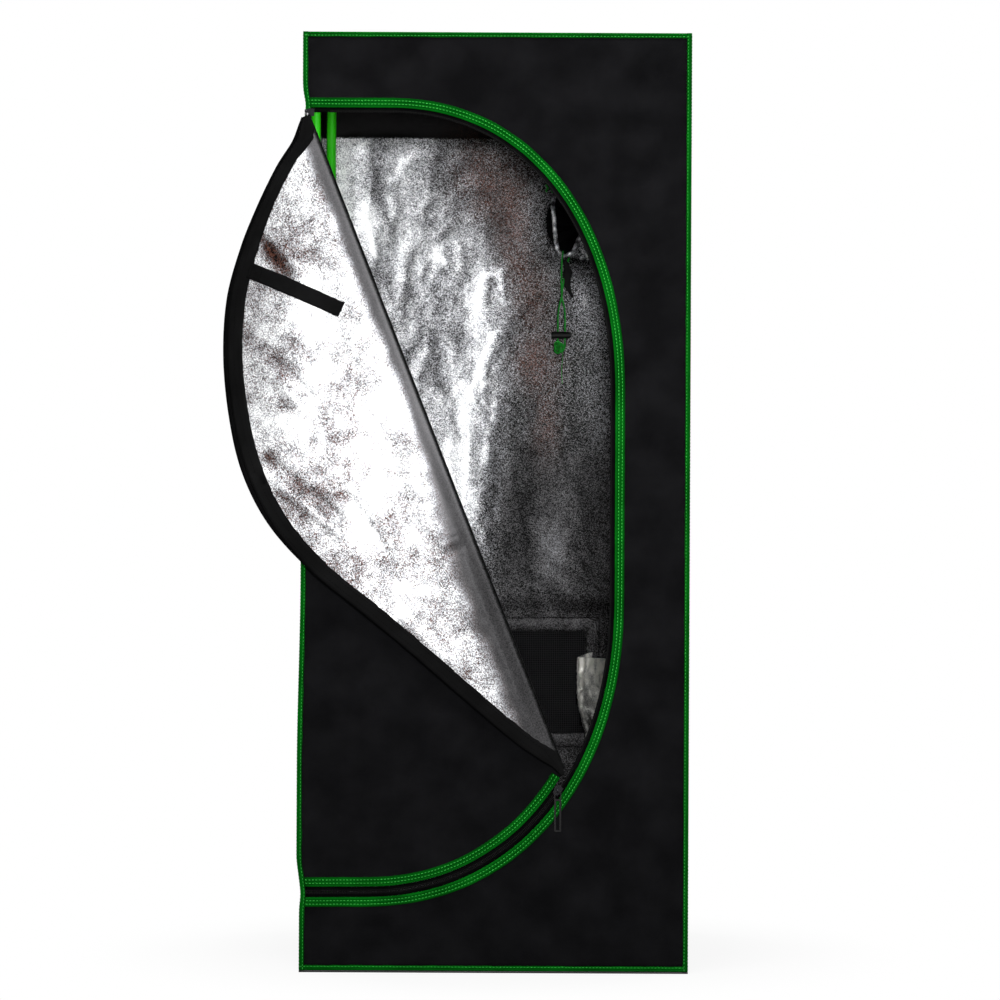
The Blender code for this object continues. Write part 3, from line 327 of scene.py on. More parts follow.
# Where the drawcord comes out, its gathered end hangs in a small black tab; a loose end shows higher up
TAB_HEAD = Vector((0.1150, 0.2690, 1.1540))
TAB_RUN = Vector((0.0130, 0.0, -0.0640))
TAB_BEND = 0.0030
TAB_HALF = 0.0022
TAB_BULGE = 0.0050
black_fray = cord_finish("black_fray", (0.004, 0.004, 0.004), (0.014, 0.014, 0.014))
tab_rings = []
for step in range(13):
    share = step / 12
    middle = TAB_HEAD + TAB_RUN * share + Vector((TAB_BEND * math.sin(7 * share), 0.0, 0.0))
    wide = TAB_HALF + TAB_BULGE * math.sin(math.pi * min(1.0, share * 1.15)) ** 0.7
    ring = []
    for turn in turns_of(12):
        rough = 1 + 0.45 * ripple(math.cos(turn) * 2, math.sin(turn) * 2, share * 7)
        ring.append(middle + Vector((wide * rough * math.cos(turn), TAB_HALF * rough * math.sin(turn), 0.0)))
    tab_rings.append(ring)
tab = loft("cord_tab", tab_rings, black_fray)
fit(tab, "tent", "black_webbing")
loose_route = smooth_route(LOOSE_ROUTE, 8)
loose = rope("cord_loose_end", loose_route, CORD_DIAMETER, CORD_PLIES, CORD_TWIST, green_cord)
fit(loose, "tent", "green_cord")

# Pole frame: steel tubes in glossy green powder coat. Each upright is in two halves, swaged together in
# the middle. The hanging bars are of the same tube and clip over the side rails.


def new_group(name, inputs, outputs):
    """An empty node group, with the sockets of its input and output nodes by name."""
    tree = bpy.data.node_groups.new(name, "ShaderNodeTree")
    for label, kind, value in inputs:
        socket = tree.interface.new_socket(label, in_out="INPUT", socket_type="NodeSocket" + kind)
        if value is not None:
            socket.default_value = value
    for label, kind in outputs:
        tree.interface.new_socket(label, in_out="OUTPUT", socket_type="NodeSocket" + kind)
    given = tree.nodes.new("NodeGroupInput").outputs
    made = tree.nodes.new("NodeGroupOutput").inputs
    return tree, given, made


def use_group(tree, group, sources):
    made = tree.nodes.new("ShaderNodeGroup")
    made.node_tree = group
    for name, source in sources.items():
        feed(tree, made.inputs[name], source)
    return made.outputs


# Handling wear: the faint scuffs and the dust that any hard piece picks up when the frame is put together
scuffs, given, made = new_group(
    "scuffs",
    [("Place", "Vector", None), ("Size", "Float", 60.0), ("Amount", "Float", 0.5)],
    [("Scuff", "Float"), ("Dust", "Float"), ("Height", "Float")],
)
broad = add_node(scuffs, "TexNoise", {"Vector": given["Place"], "Scale": given["Size"], "Detail": 4.0})
fine_scale = reckon(scuffs, "MULTIPLY", given["Size"], 14.0)
fine = add_node(scuffs, "TexNoise", {"Vector": given["Place"], "Scale": fine_scale, "Detail": 2.0})
scratched = add_node(scuffs, "MapRange", {0: broad.outputs[0], 1: 0.55, 2: 0.75, 3: 0.0, 4: 1.0})
feed(scuffs, made["Scuff"], reckon(scuffs, "MULTIPLY", scratched.outputs[0], given["Amount"]))
feed(scuffs, made["Dust"], reckon(scuffs, "MULTIPLY", fine.outputs[0], given["Amount"]))
feed(scuffs, made["Height"], fine.outputs[0])


def hard_finish(name, colour, worn, size, amount, grain, levels, roughness):
    """A hard finish: colour that wears lighter, a grain of this depth in metres, and its roughness."""
    material, tree, shader = new_finish(name, levels)
    place = add_node(tree, "TexCoord").outputs["Object"]
    marks = use_group(tree, scuffs, {"Place": place, "Size": size, "Amount": amount})
    feed(tree, shader.inputs["Base Color"], blended(tree, marks["Scuff"], (*colour, 1.0), (*worn, 1.0)))
    spread = reckon(tree, "MULTIPLY_ADD", marks["Dust"], 0.35, roughness)
    feed(tree, shader.inputs["Roughness"], spread)
    rough_up(tree, shader, marks["Height"], grain)
    return material


def coat_nodes(material, *nodes):
    """Give CAD nodes a finish."""
    for name in nodes:
        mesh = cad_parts[name].data
        mesh.materials.clear()
        mesh.materials.append(material)


green_steel = hard_finish(
    "green_powder_coat",
    (0.026, 0.560, 0.006),
    (0.060, 0.560, 0.024),
    18.0,
    0.5,
    0.00003,
    {"Metallic": 0.0, "Specular IOR Level": 0.15, "Coat Weight": 0.2, "Coat Roughness": 0.06},
    0.30,
)
for level in ("lower", "upper"):
    for corner in ("front_left", "front_right", "rear_left", "rear_right"):
        coat_nodes(green_steel, f"upright_{level}_{corner}")
for level in ("base", "top"):
    for side in ("front", "rear", "left", "right"):
        coat_nodes(green_steel, f"{level}_rail_{side}")
coat_nodes(green_steel, "hanging_bar_front", "hanging_bar_rear")

# Corner fittings: eight blocks of moulded black plastic, each with three sockets that the poles push into.
# Their faces have a fine moulded grain and faint scuffs.

black_plastic = hard_finish(
    "corner_plastic",
    (0.012, 0.012, 0.013),
    (0.035, 0.035, 0.036),
    45.0,
    0.6,
    0.00006,
    {"Specular IOR Level": 0.4},
    0.45,
)
for level in ("base", "top"):
    for corner in ("front_left", "front_right", "rear_left", "rear_right"):
        coat_nodes(black_plastic, f"{level}_corner_{corner}")

# Cover: panels of 600-denier black cloth, laminated inside with crinkled mirror film. They hang a little
# slack between their bindings. Along the top the inside is plain black, above the door's own height.

TENT_WIDTH = 0.610
TENT_DEPTH = 0.610
TENT_HEIGHT = 1.475
CLOTH = 0.0012
CLEARANCE = 0.0003
SKIN = 0.3035
WALL_FOOT_Z = 0.0048
WALL_TOP_Z = 1.4720
ROOF_TOP_Z = 1.4735
BLACK_BAND_Z = 1.365
OXFORD_PITCH = 0.0009
FRONT_SPACING = 0.012
# Where the front cloth is held: round the lower slider, and along the top of the opening up to this X
LOWER_SLIDER_PLACE = (0.0998, 0.2870)
HELD_TOP = (-0.165, 1.348)


def smooth_step(value):
    value = min(1.0, max(0.0, value))
    return value * value * (3 - 2 * value)


def ridged(tree, place, pitch):
    """Rounded ridges across a direction, one at every pitch of it."""
    waves = reckon(tree, "SINE", reckon(tree, "MULTIPLY", place, math.pi / pitch))
    return reckon(tree, "ABSOLUTE", waves)


# Plain weave: warp and weft threads that pass over each other in turn
weave, given, made = new_group(
    "plain_weave",
    [("Place", "Vector", None), ("Pitch", "Float", OXFORD_PITCH)],
    [("Height", "Float"), ("Thread", "Float")],
)
threads = add_node(weave, "VectorMath", operation="DIVIDE")
feed(weave, threads.inputs[0], given["Place"])
pitch = add_node(weave, "CombineXYZ", {"X": given["Pitch"], "Y": given["Pitch"], "Z": 1.0})
feed(weave, threads.inputs[1], pitch.outputs[0])
axes = add_node(weave, "SeparateXYZ", {0: threads.outputs[0]}).outputs
rises = [ridged(weave, axis, 1.0) for axis in axes[:2]]
squares = reckon(weave, "ADD", reckon(weave, "FLOOR", axes[0]), reckon(weave, "FLOOR", axes[1]))
over = reckon(weave, "PINGPONG", squares, 1.0)
warp = reckon(weave, "MULTIPLY", rises[0], reckon(weave, "MULTIPLY_ADD", rises[1], 0.5, 0.5))
weft = reckon(weave, "MULTIPLY", rises[1], reckon(weave, "MULTIPLY_ADD", rises[0], 0.5, 0.5))
either = add_node(weave, "Mix", {0: over, 2: weft, 3: warp}, data_type="FLOAT")
feed(weave, made["Height"], either.outputs[0])
feed(weave, made["Thread"], over)

# Lint and dust that black cloth shows, and the soft unevenness of its coating
lint, given, made = new_group(
    "lint", [("Place", "Vector", None), ("Amount", "Float", 0.5)], [("Lint", "Float"), ("Haze", "Float")]
)
specks = add_node(lint, "TexNoise", {"Vector": given["Place"], "Scale": 900.0, "Detail": 3.0})
speck = add_node(lint, "MapRange", {0: specks.outputs[0], 1: 0.62, 2: 0.80, 3: 0.0, 4: 1.0})
haze = add_node(lint, "TexNoise", {"Vector": given["Place"], "Scale": 14.0, "Detail": 5.0})
hazy = add_node(lint, "MapRange", {0: haze.outputs[0], 1: 0.35, 2: 0.75, 3: 0.0, 4: 1.0})
feed(lint, made["Lint"], reckon(lint, "MULTIPLY", speck.outputs[0], given["Amount"]))
feed(lint, made["Haze"], reckon(lint, "MULTIPLY", hazy.outputs[0], given["Amount"]))


def woven_finish(name, dark, light, pitch, depth, roughness, specular, amount=0.5):
    """A woven finish whose raised threads are the lighter colour, with painted shade in the hollows between
    them.
    """
    material, tree, shader = new_finish(name, {"Specular IOR Level": specular})
    place = cloth_place(tree)
    threads = use_group(tree, weave, {"Place": place, "Pitch": pitch})
    marks = use_group(tree, lint, {"Place": place, "Amount": amount})
    # Painted shade: the threads' height lightens their tops and darkens the hollows between them
    share = reckon(tree, "MULTIPLY_ADD", threads["Height"], 0.45, marks["Haze"])
    share = reckon(tree, "ADD", share, marks["Lint"])
    feed(tree, shader.inputs["Base Color"], blended(tree, share, (*dark, 1.0), (*light, 1.0)))
    feed(tree, shader.inputs["Roughness"], reckon(tree, "MULTIPLY_ADD", marks["Haze"], 0.12, roughness))
    rough_up(tree, shader, threads["Height"], depth)
    return material


black_cloth = woven_finish(
    "black_oxford", (0.0030, 0.0030, 0.0033), (0.0120, 0.0120, 0.0132), OXFORD_PITCH, 0.00018, 0.60, 0.0
)

# Crinkled mirror film, whose base colour paints its reflections and shade. Its fine grain breaks up into dark
# and bright specks wherever the painted shade isn't full, its small wrinkles get painted highlights, and a
# painted warm reflection tints the dark specks in places.
film, given, made = new_group(
    "crinkled_film",
    [("Place", "Vector", None), ("Shade", "Float", 0.6), ("Grain", "Float", 0.5), ("Tint", "Float", 0.0)],
    [("Colour", "Color"), ("Height", "Float"), ("Dullness", "Float")],
)
grain = add_node(film, "TexVoronoi", {"Vector": given["Place"], "Scale": 820.0})
parts = add_node(film, "SeparateColor", {0: grain.outputs["Color"]}).outputs
flecks = add_node(film, "MapRange", {0: parts[0], 1: 0.0, 2: 1.0, 3: -1.0, 4: 1.0})
swirl = add_node(
    film, "TexNoise", {"Vector": given["Place"], "Scale": 30.0, "Detail": 3.0, "Distortion": 0.4}
)
bent = add_node(film, "VectorMath", {0: swirl.outputs["Color"], "Scale": 0.035}, operation="SCALE")
bent = add_node(film, "VectorMath", {0: given["Place"], 1: bent.outputs[0]}, operation="ADD").outputs[0]
soft = reckon(film, "MULTIPLY_ADD", swirl.outputs[0], 0.5, -0.25)
for scale, strength in ((24.0, 0.26), (70.0, 0.26)):
    facet = add_node(film, "TexVoronoi", {"Vector": bent, "Scale": scale})
    tilt = add_node(film, "SeparateColor", {0: facet.outputs["Color"]}).outputs[0]
    soft = reckon(film, "ADD", soft, reckon(film, "MULTIPLY_ADD", tilt, strength, -strength / 2))
# Painted highlights: the wrinkles' facets show only where the painted shade is bright
lit = reckon(film, "MINIMUM", reckon(film, "MULTIPLY_ADD", given["Shade"], 1.6, -0.25), 1.0)
soft = reckon(film, "MULTIPLY", soft, reckon(film, "MAXIMUM", lit, 0.0))
swing = reckon(film, "MULTIPLY", reckon(film, "MULTIPLY_ADD", flecks.outputs[0], 0.46, soft), given["Grain"])
level = reckon(film, "ADD", given["Shade"], swing)
ramp = add_node(film, "ValToRGB", {0: level})
stops = ramp.color_ramp.elements
stops[0].position, stops[0].color = 0.0, (0.0015, 0.0015, 0.0015, 1.0)
stops[1].position, stops[1].color = 1.0, (0.940, 0.942, 0.946, 1.0)
for position, colour in (
    (0.25, (0.100, 0.098, 0.102, 1.0)),
    (0.50, (0.290, 0.296, 0.316, 1.0)),
    (0.78, (0.680, 0.690, 0.710, 1.0)),
):
    stops.new(position).color = colour
# Painted warm reflection, only in the dim specks
dim = add_node(film, "MapRange", {0: level, 1: 0.60, 2: 0.25, 3: 0.0, 4: 1.0})
speck = add_node(film, "MapRange", {0: parts[1], 1: 0.50, 2: 0.80, 3: 0.0, 4: 1.0})
warm_reflection = reckon(film, "MULTIPLY", reckon(film, "MULTIPLY", dim.outputs[0], speck.outputs[0]), given["Tint"])
feed(film, made["Colour"], blended(film, warm_reflection, ramp.outputs[0], (0.150, 0.058, 0.038, 1.0)))
feed(film, made["Height"], reckon(film, "MULTIPLY_ADD", parts[0], 0.06, swirl.outputs[0]))
feed(film, made["Dullness"], reckon(film, "MULTIPLY_ADD", flecks.outputs[0], 0.06, 0.44))


def film_finish(name, depth, hue=(1.0, 1.0, 1.0)):
    """Mirror film; each point of its mesh says how bright its painted reflection and shade are, how grainy it
    is and how warm its painted reflection is.
    """
    material, tree, shader = new_finish(name, {"Metallic": 0.35, "Specular IOR Level": 0.05})
    sources = {"Place": cloth_place(tree)}
    for label, layer in (("Shade", "shade"), ("Grain", "grain"), ("Tint", "warm_reflection")):
        sources[label] = add_node(tree, "Attribute", attribute_name=layer).outputs["Fac"]
    skin = use_group(tree, film, sources)
    colours = {0: 1.0, 6: skin["Colour"], 7: (*hue, 1.0)}
    tinted = add_node(tree, "Mix", colours, data_type="RGBA", blend_type="MULTIPLY")
    feed(tree, shader.inputs["Base Color"], tinted.outputs[2])
    feed(tree, shader.inputs["Roughness"], skin["Dullness"])
    rough_up(tree, shader, skin["Height"], depth)
    return material


wall_film = film_finish("wall_film", 0.0012)


def set_film(thing, shades, grains=1.0, warm_reflections=0.0):
    """The film's painted shade and reflection at each point, how much it breaks up into specks, and how warm
    its painted reflection is.
    """
    for label, values in (("shade", shades), ("grain", grains), ("warm_reflection", warm_reflections)):
        if not isinstance(values, list):
            values = [values] * len(thing.data.vertices)
        layer = thing.data.attributes.new(label, "FLOAT", "POINT")
        layer.data.foreach_set("value", values)


def area_of(thing):
    return sum(face.area for face in thing.data.polygons)


def thicken(thing, thickness=CLOTH, inner_finish=1):
    """Give a cloth its thickness, half on each side; its inner face takes the next finish."""
    solidify = thing.modifiers.new("thickness", "SOLIDIFY")
    solidify.thickness = thickness
    solidify.offset = 0.0
    solidify.material_offset = inner_finish
    bpy.context.view_layer.update()
    graph = bpy.context.evaluated_depsgraph_get()
    mesh = bpy.data.meshes.new_from_object(thing.evaluated_get(graph))
    thing.modifiers.clear()
    thing.data = mesh
    return thing


# The noise draws its offsets by the clock unless it has a seed of its own
noise.seed_set(1)


def crumple(x, y, z, size, height):
    """Height of crushed film: cones whose valleys meet in sharp lines."""
    spot = Vector((x / size, y / size, z / size))
    spot += noise.noise_vector(spot * 0.5) * 0.7
    near = noise.voronoi(spot)[0]
    return height * (near[1] - near[0])


def edge_pull(x, y, z):
    """How far the left front edge stands out: it bellies low down and is drawn in at the zip's ends."""
    near = smooth_step((-0.17 - x) / 0.135) * smooth_step((0.05 - y) / 0.35)
    belly = 0.0045 * smooth_step((z - 0.135) / 0.05) * smooth_step((0.62 - z) / 0.30)
    foot_pinch = 0.0020 * math.exp(-(((z - 0.122) / 0.016) ** 2))
    head_pinch = 0.0045 * math.exp(-(((z - 1.358) / 0.020) ** 2))
    return near * (foot_pinch + head_pinch - belly)


def skin_wave(x, z):
    """How far the front cloth lies behind its plane: soft waves that die out at the seams and slider."""
    edge = min(SKIN - abs(x), z - WALL_FOOT_Z, WALL_TOP_Z - z)
    calm = smooth_step((edge - 0.012) / 0.06)
    calm *= smooth_step((math.hypot(x - LOWER_SLIDER_PLACE[0], z - LOWER_SLIDER_PLACE[1]) - 0.045) / 0.05)
    calm *= smooth_step((math.hypot(max(0.0, x - HELD_TOP[0]), z - HELD_TOP[1]) - 0.012) / 0.05)
    wave = ripple(x * 7.0, 3.1, z * 4.0) * 0.0050
    warped = noise.noise_vector(Vector((x * 6.0, 1.7, z * 6.0))) * 0.6
    for scale, lean, height in ((9.0, 0.8, 0.0110), (17.0, -0.9, 0.0050)):
        fold = noise.noise(Vector((x * scale + z * scale * lean, 7.7, z * scale - x * scale * lean)) + warped)
        wave += height * (abs(fold) - 0.2)
    return calm * wave


def settle(thing):
    """Move a piece of the front with the cloth that carries it."""
    for vertex in thing.data.vertices:
        x, y, z = vertex.co
        vertex.co.y = y + skin_wave(x, z)
        vertex.co.x = x + edge_pull(x, y, z)
    return thing


def inside(point, loop):
    """Whether a point lies inside a closed loop."""
    x, z = point
    found = False
    ax, az = loop[-1]
    for bx, bz in loop:
        if (az > z) != (bz > z) and x < (bx - ax) * (z - az) / (bz - az) + ax:
            found = not found
        ax, az = bx, bz
    return found


def even_loop(loop, spacing):
    """A closed loop with its corners kept and no side longer than the spacing."""
    result = []
    for i, point in enumerate(loop):
        following = loop[(i + 1) % len(loop)]
        steps = max(1, math.ceil((following - point).length / spacing))
        result += [point.lerp(following, step / steps) for step in range(steps)]
    return result


def cut_cloth(loops, spacing):
    """Points and triangles of a flat cloth: the first loop is its outline and the others are holes."""
    loops = [even_loop(loop, spacing) for loop in loops]
    points = []
    edges = []
    for loop in loops:
        first = len(points)
        points += loop
        edges += [(first + i, first + (i + 1) % len(loop)) for i in range(len(loop))]
    rim = list(points)
    low = Vector((min(p.x for p in rim), min(p.y for p in rim)))
    high = Vector((max(p.x for p in rim), max(p.y for p in rim)))
    hull = [tuple(point) for point in loops[0]]
    holes = [[tuple(point) for point in loop] for loop in loops[1:]]
    taken = {(round(p.x / spacing), round(p.y / spacing)) for p in rim}
    for column in range(1, int((high.x - low.x) / spacing) + 1):
        for row in range(1, int((high.y - low.y) / spacing) + 1):
            spot = low + Vector((column + 0.5 * (row % 2) - 0.25, row)) * spacing
            cell = (round(spot.x / spacing), round(spot.y / spacing))
            if cell in taken or not inside(spot, hull) or any(inside(spot, hole) for hole in holes):
                continue
            points.append(spot)
    result = geometry.delaunay_2d_cdt(points, edges, [], 0, 1e-6)
    faces = []
    for face in result[2]:
        middle = sum((result[0][i] for i in face), Vector((0.0, 0.0))) / len(face)
        if inside(middle, hull) and not any(inside(middle, hole) for hole in holes):
            faces.append(tuple(face))
    return result[0], faces


def rectangle(left, right, foot, top):
    return [Vector((left, foot)), Vector((right, foot)), Vector((right, top)), Vector((left, top))]


# Outline of the door: its zip runs from the left edge over the top, down the right side and back below
ZIP_SIDE_X = 0.1795
ZIP_TOP_Z = 1.3480
ZIP_FOOT_Z = 0.1257
TOP_CORNER_WIDTH = 0.3490
TOP_CORNER_HEIGHT = 0.4460
FOOT_CORNER_WIDTH = 0.3910
FOOT_CORNER_HEIGHT = 0.4650
CORNER_BEND_SHARE = 0.909
CORNER_STEPS = 60
TAPE_WIDTH = 0.0080


def door_corner(centre, width, height, foot=False):
    """A rounded corner of the door, clockwise, as a quarter of a superellipse."""
    points = []
    for step in range(CORNER_STEPS + 1):
        turn = math.pi / 2 * step / CORNER_STEPS
        if foot:
            turn = math.pi / 2 - turn
        across = width * abs(math.sin(turn)) ** CORNER_BEND_SHARE
        up = height * abs(math.cos(turn)) ** CORNER_BEND_SHARE
        points.append(Vector((centre[0] + across, centre[1] + (-up if foot else up))))
    return points


def zip_path(left_x):
    path = [Vector((left_x, ZIP_TOP_Z))]
    top_centre = (ZIP_SIDE_X - TOP_CORNER_WIDTH, ZIP_TOP_Z - TOP_CORNER_HEIGHT)
    foot_centre = (ZIP_SIDE_X - FOOT_CORNER_WIDTH, ZIP_FOOT_Z + FOOT_CORNER_HEIGHT)
    path += door_corner(top_centre, TOP_CORNER_WIDTH, TOP_CORNER_HEIGHT)
    path += door_corner(foot_centre, FOOT_CORNER_WIDTH, FOOT_CORNER_HEIGHT, foot=True)
    path.append(Vector((left_x, ZIP_FOOT_Z)))
    return path


def spaced(path, step):
    """A path's points at even steps, ends kept."""
    total = length_of(path)
    count = max(2, round(total / step))
    result = []
    travelled = 0.0
    i = 0
    for k in range(count):
        wanted = total * k / count
        while travelled + (path[i + 1] - path[i]).length < wanted:
            travelled += (path[i + 1] - path[i]).length
            i += 1
        run = path[i + 1] - path[i]
        result.append(path[i] + run * ((wanted - travelled) / max(run.length, 1e-9)))
    return result + [path[-1]]


def right_of(step):
    return Vector((step.y, -step.x)).normalized()


def shifted(points, inset):
    """A path moved to the right of its direction, with mitred corners."""
    result = []
    for i, point in enumerate(points):
        before = right_of(point - points[i - 1]) if i else None
        after = right_of(points[i + 1] - point) if i + 1 < len(points) else None
        before = before or after
        after = after or before
        mitre = (before + after).normalized()
        result.append(point + mitre * (inset / mitre.dot(before)))
    return result


def spot_shade(spots, x, z):
    """Sum of soft oval patches: place, half width, half height, lean and change of shade."""
    total = 0.0
    for px, pz, wide, high, lean, change in spots:
        dx, dz = x - px, z - pz
        across = (dx * math.cos(lean) + dz * math.sin(lean)) / wide
        along = (dz * math.cos(lean) - dx * math.sin(lean)) / high
        reach = across * across + along * along
        if reach < 6.0:
            total += change * math.exp(-reach)
    return total


def film_shade(x, y, z, base, spread):
    """Shade of hanging film: long soft streaks that run mostly up and down."""
    streak = ripple(x * 16.0, y * 16.0, z * 4.5)
    patch = ripple(x * 42.0, y * 42.0, z * 19.0 + 5.0)
    return base + spread * (0.75 * streak + 0.45 * patch)


def film_above(x, z):
    """Shade of the film inside the front, which ends where the plain black band begins."""
    return film_shade(x, 0.3, z, 0.5, 0.5) if z < BLACK_BAND_Z else -1.0


def front_cloth(name, outline):
    """A lined cloth of the front plane, cut to an outline, and its area before it is thickened."""
    flat, faces = cut_cloth([outline], FRONT_SPACING)
    points = [(p.x, -SKIN + CLOTH / 2, p.y) for p in flat]
    cloth = piece(name, points, faces, flat, [black_cloth, wall_film])
    set_film(cloth, [film_above(p.x, p.y) for p in flat])
    area = area_of(cloth)
    return thicken(settle(cloth)), area


front_hole = shifted(zip_path(-SKIN), -TAPE_WIDTH - CLEARANCE)
front_hole[0].x = front_hole[-1].x = -SKIN
front_loop = [
    Vector((-SKIN, WALL_FOOT_Z)),
    Vector((SKIN, WALL_FOOT_Z)),
    Vector((SKIN, WALL_TOP_Z)),
    Vector((-SKIN, WALL_TOP_Z)),
    *spaced(front_hole, 0.009),
]
front_panel, front_area = front_cloth("front_panel_cloth", front_loop)
fit(front_panel, "tent", "black_cloth", "front_panel")

# Rear panel, with a round hole for the duct port and a window above the floor. Its film is the bright back
# wall that shows through the door, creased lengthwise from folding and streaked with painted light and shade.

PORT_X = 0.1520
PORT_Z = 1.2220
PORT_RADIUS = 0.0675
WINDOW_HALF_WIDTH = 0.1560
WINDOW_FOOT_Z = 0.3400
WINDOW_TOP_Z = 0.5170
WINDOW_MIDDLE_Z = (WINDOW_FOOT_Z + WINDOW_TOP_Z) / 2
REAR_SPACING = 0.0075
SLOPE_STEP = 0.003
# Painted reflections and painted shade of the back wall: bright and dark patches, as it hangs in the
# photograph
WALL_SHADE_PATCHES = (
    (-0.262, 1.300, 0.014, 0.080, 0.00, 0.55),
    (-0.222, 1.205, 0.022, 0.034, 0.20, 0.50),
    (-0.235, 1.115, 0.016, 0.040, 0.10, -0.22),
    (-0.101, 1.160, 0.014, 0.018, 0.30, 0.35),
    (-0.015, 1.104, 0.020, 0.044, -0.35, 0.16),
    (-0.020, 0.985, 0.024, 0.080, 0.12, 0.20),
    (-0.050, 0.870, 0.020, 0.080, 0.10, 0.26),
    (-0.065, 0.790, 0.016, 0.070, 0.30, 0.30),
    (-0.100, 0.960, 0.014, 0.060, 0.20, -0.22),
    (0.155, 1.085, 0.026, 0.066, 0.10, 0.26),
    (0.170, 0.930, 0.020, 0.110, 0.00, 0.16),
    (0.093, 0.650, 0.035, 0.050, 0.30, 0.12),
    (0.125, 0.720, 0.030, 0.060, 0.00, 0.06),
    (-0.180, 1.330, 0.050, 0.030, 0.00, 0.12),
)
# Painted highlights and painted shade along sharp wrinkles of its lit part: both ends, half width and change
# of shade
WALL_PAINTED_CREASES = (
    (-0.0345, 1.0700, -0.0242, 1.1300, 0.0040, 0.60),
    (-0.0242, 1.1300, 0.0035, 1.1350, 0.0030, 0.50),
    (0.0035, 1.1350, 0.0100, 1.0785, 0.0035, 0.50),
    (-0.0150, 1.0800, -0.0080, 1.1200, 0.0040, -0.45),
    (-0.0449, 0.9150, -0.0311, 0.9750, 0.0040, 0.55),
    (-0.0311, 0.9750, -0.0069, 1.0270, 0.0040, 0.55),
    (-0.0069, 1.0270, 0.0069, 1.0350, 0.0030, 0.45),
    (-0.0180, 0.9500, -0.0030, 1.0000, 0.0045, -0.35),
    (-0.1139, 1.1730, -0.0880, 1.1475, 0.0030, 0.70),
    (-0.1100, 1.1530, -0.0966, 1.1800, 0.0030, 0.60),
    (-0.0449, 0.8630, -0.0621, 0.7080, 0.0040, 0.50),
    (-0.0017, 0.9150, -0.0276, 0.7940, 0.0035, 0.45),
    (-0.0794, 0.8460, -0.0966, 0.7420, 0.0035, 0.40),
    (-0.1600, 1.0100, -0.1400, 0.9000, 0.0035, -0.30),
    (-0.2300, 1.2500, -0.2100, 1.1600, 0.0035, 0.60),
)
# Where a reddish reflection shows in it
WALL_WARM_SPOTS = (
    (-0.030, 1.290, 0.050, 0.060, 0.00, 0.9),
    (0.030, 1.200, 0.030, 0.090, 0.00, 0.8),
    (0.065, 0.980, 0.035, 0.040, 0.00, 0.9),
    (0.060, 1.090, 0.030, 0.050, 0.00, 0.6),
    (0.085, 0.880, 0.020, 0.060, 0.00, 0.6),
)


def circle(x, z, radius, sides):
    return [Vector((x + radius * math.cos(t), z + radius * math.sin(t))) for t in turns_of(sides)]


def wall_calm(x, z):
    """How free the back wall hangs: not at its seams, the port or the window."""
    edge = min(SKIN - abs(x), z - WALL_FOOT_Z, WALL_TOP_Z - z)
    calm = smooth_step((edge - 0.006) / 0.03)
    calm *= smooth_step((math.hypot(x - PORT_X, z - PORT_Z) - PORT_RADIUS - 0.004) / 0.03)
    past_window = max(abs(x) - WINDOW_HALF_WIDTH, WINDOW_FOOT_Z - z, z - WINDOW_TOP_Z)
    calm *= smooth_step((past_window - 0.028) / 0.03)
    return calm * smooth_step((BLACK_BAND_Z + 0.01 - z) / 0.03)


def wall_wave(x, z):
    """How far the back wall stands in front of its plane: slack waves, folds and crushed film."""
    wave = 0.0030 + 0.0045 * ripple(x * 15.0, 1.3, z * 4.5)
    wave += 0.0030 * abs(ripple(x * 26.0, 9.2, z * 10.0))
    wave += crumple(x, 0.0, z, 0.050, 0.0032) + crumple(x, 4.0, z, 0.017, 0.0012)
    near_pole = smooth_step((0.272 - abs(x)) / 0.03)
    return wall_calm(x, z) * max(0.0, wave) * (0.35 + 0.65 * near_pole)


rear_loops = [
    rectangle(-SKIN, SKIN, WALL_FOOT_Z, WALL_TOP_Z),
    circle(PORT_X, PORT_Z, PORT_RADIUS, 60),
    rectangle(-WINDOW_HALF_WIDTH, WINDOW_HALF_WIDTH, WINDOW_FOOT_Z, WINDOW_TOP_Z),
]
flat, faces = cut_cloth(rear_loops, REAR_SPACING)
middle = SKIN - CLOTH / 2
rear_panel = piece(
    "rear_panel_cloth",
    [(p.x, middle - wall_wave(p.x, p.y), p.y) for p in flat],
    [face[::-1] for face in faces],
    flat,
    [black_cloth, wall_film],
)


def crease_height(creases, x, z):
    """Height of creases at a spot, as ridges and valleys along straight lines."""
    total = 0.0
    for ax, az, bx, bz, wide, height in creases:
        run_x, run_z = bx - ax, bz - az
        share = ((x - ax) * run_x + (z - az) * run_z) / (run_x**2 + run_z**2)
        held = min(1.0, max(0.0, share))
        gap = math.hypot(x - ax - held * run_x, z - az - held * run_z) / wide
        if gap < 3.0:
            total += height * math.exp(-gap * gap)
    return total


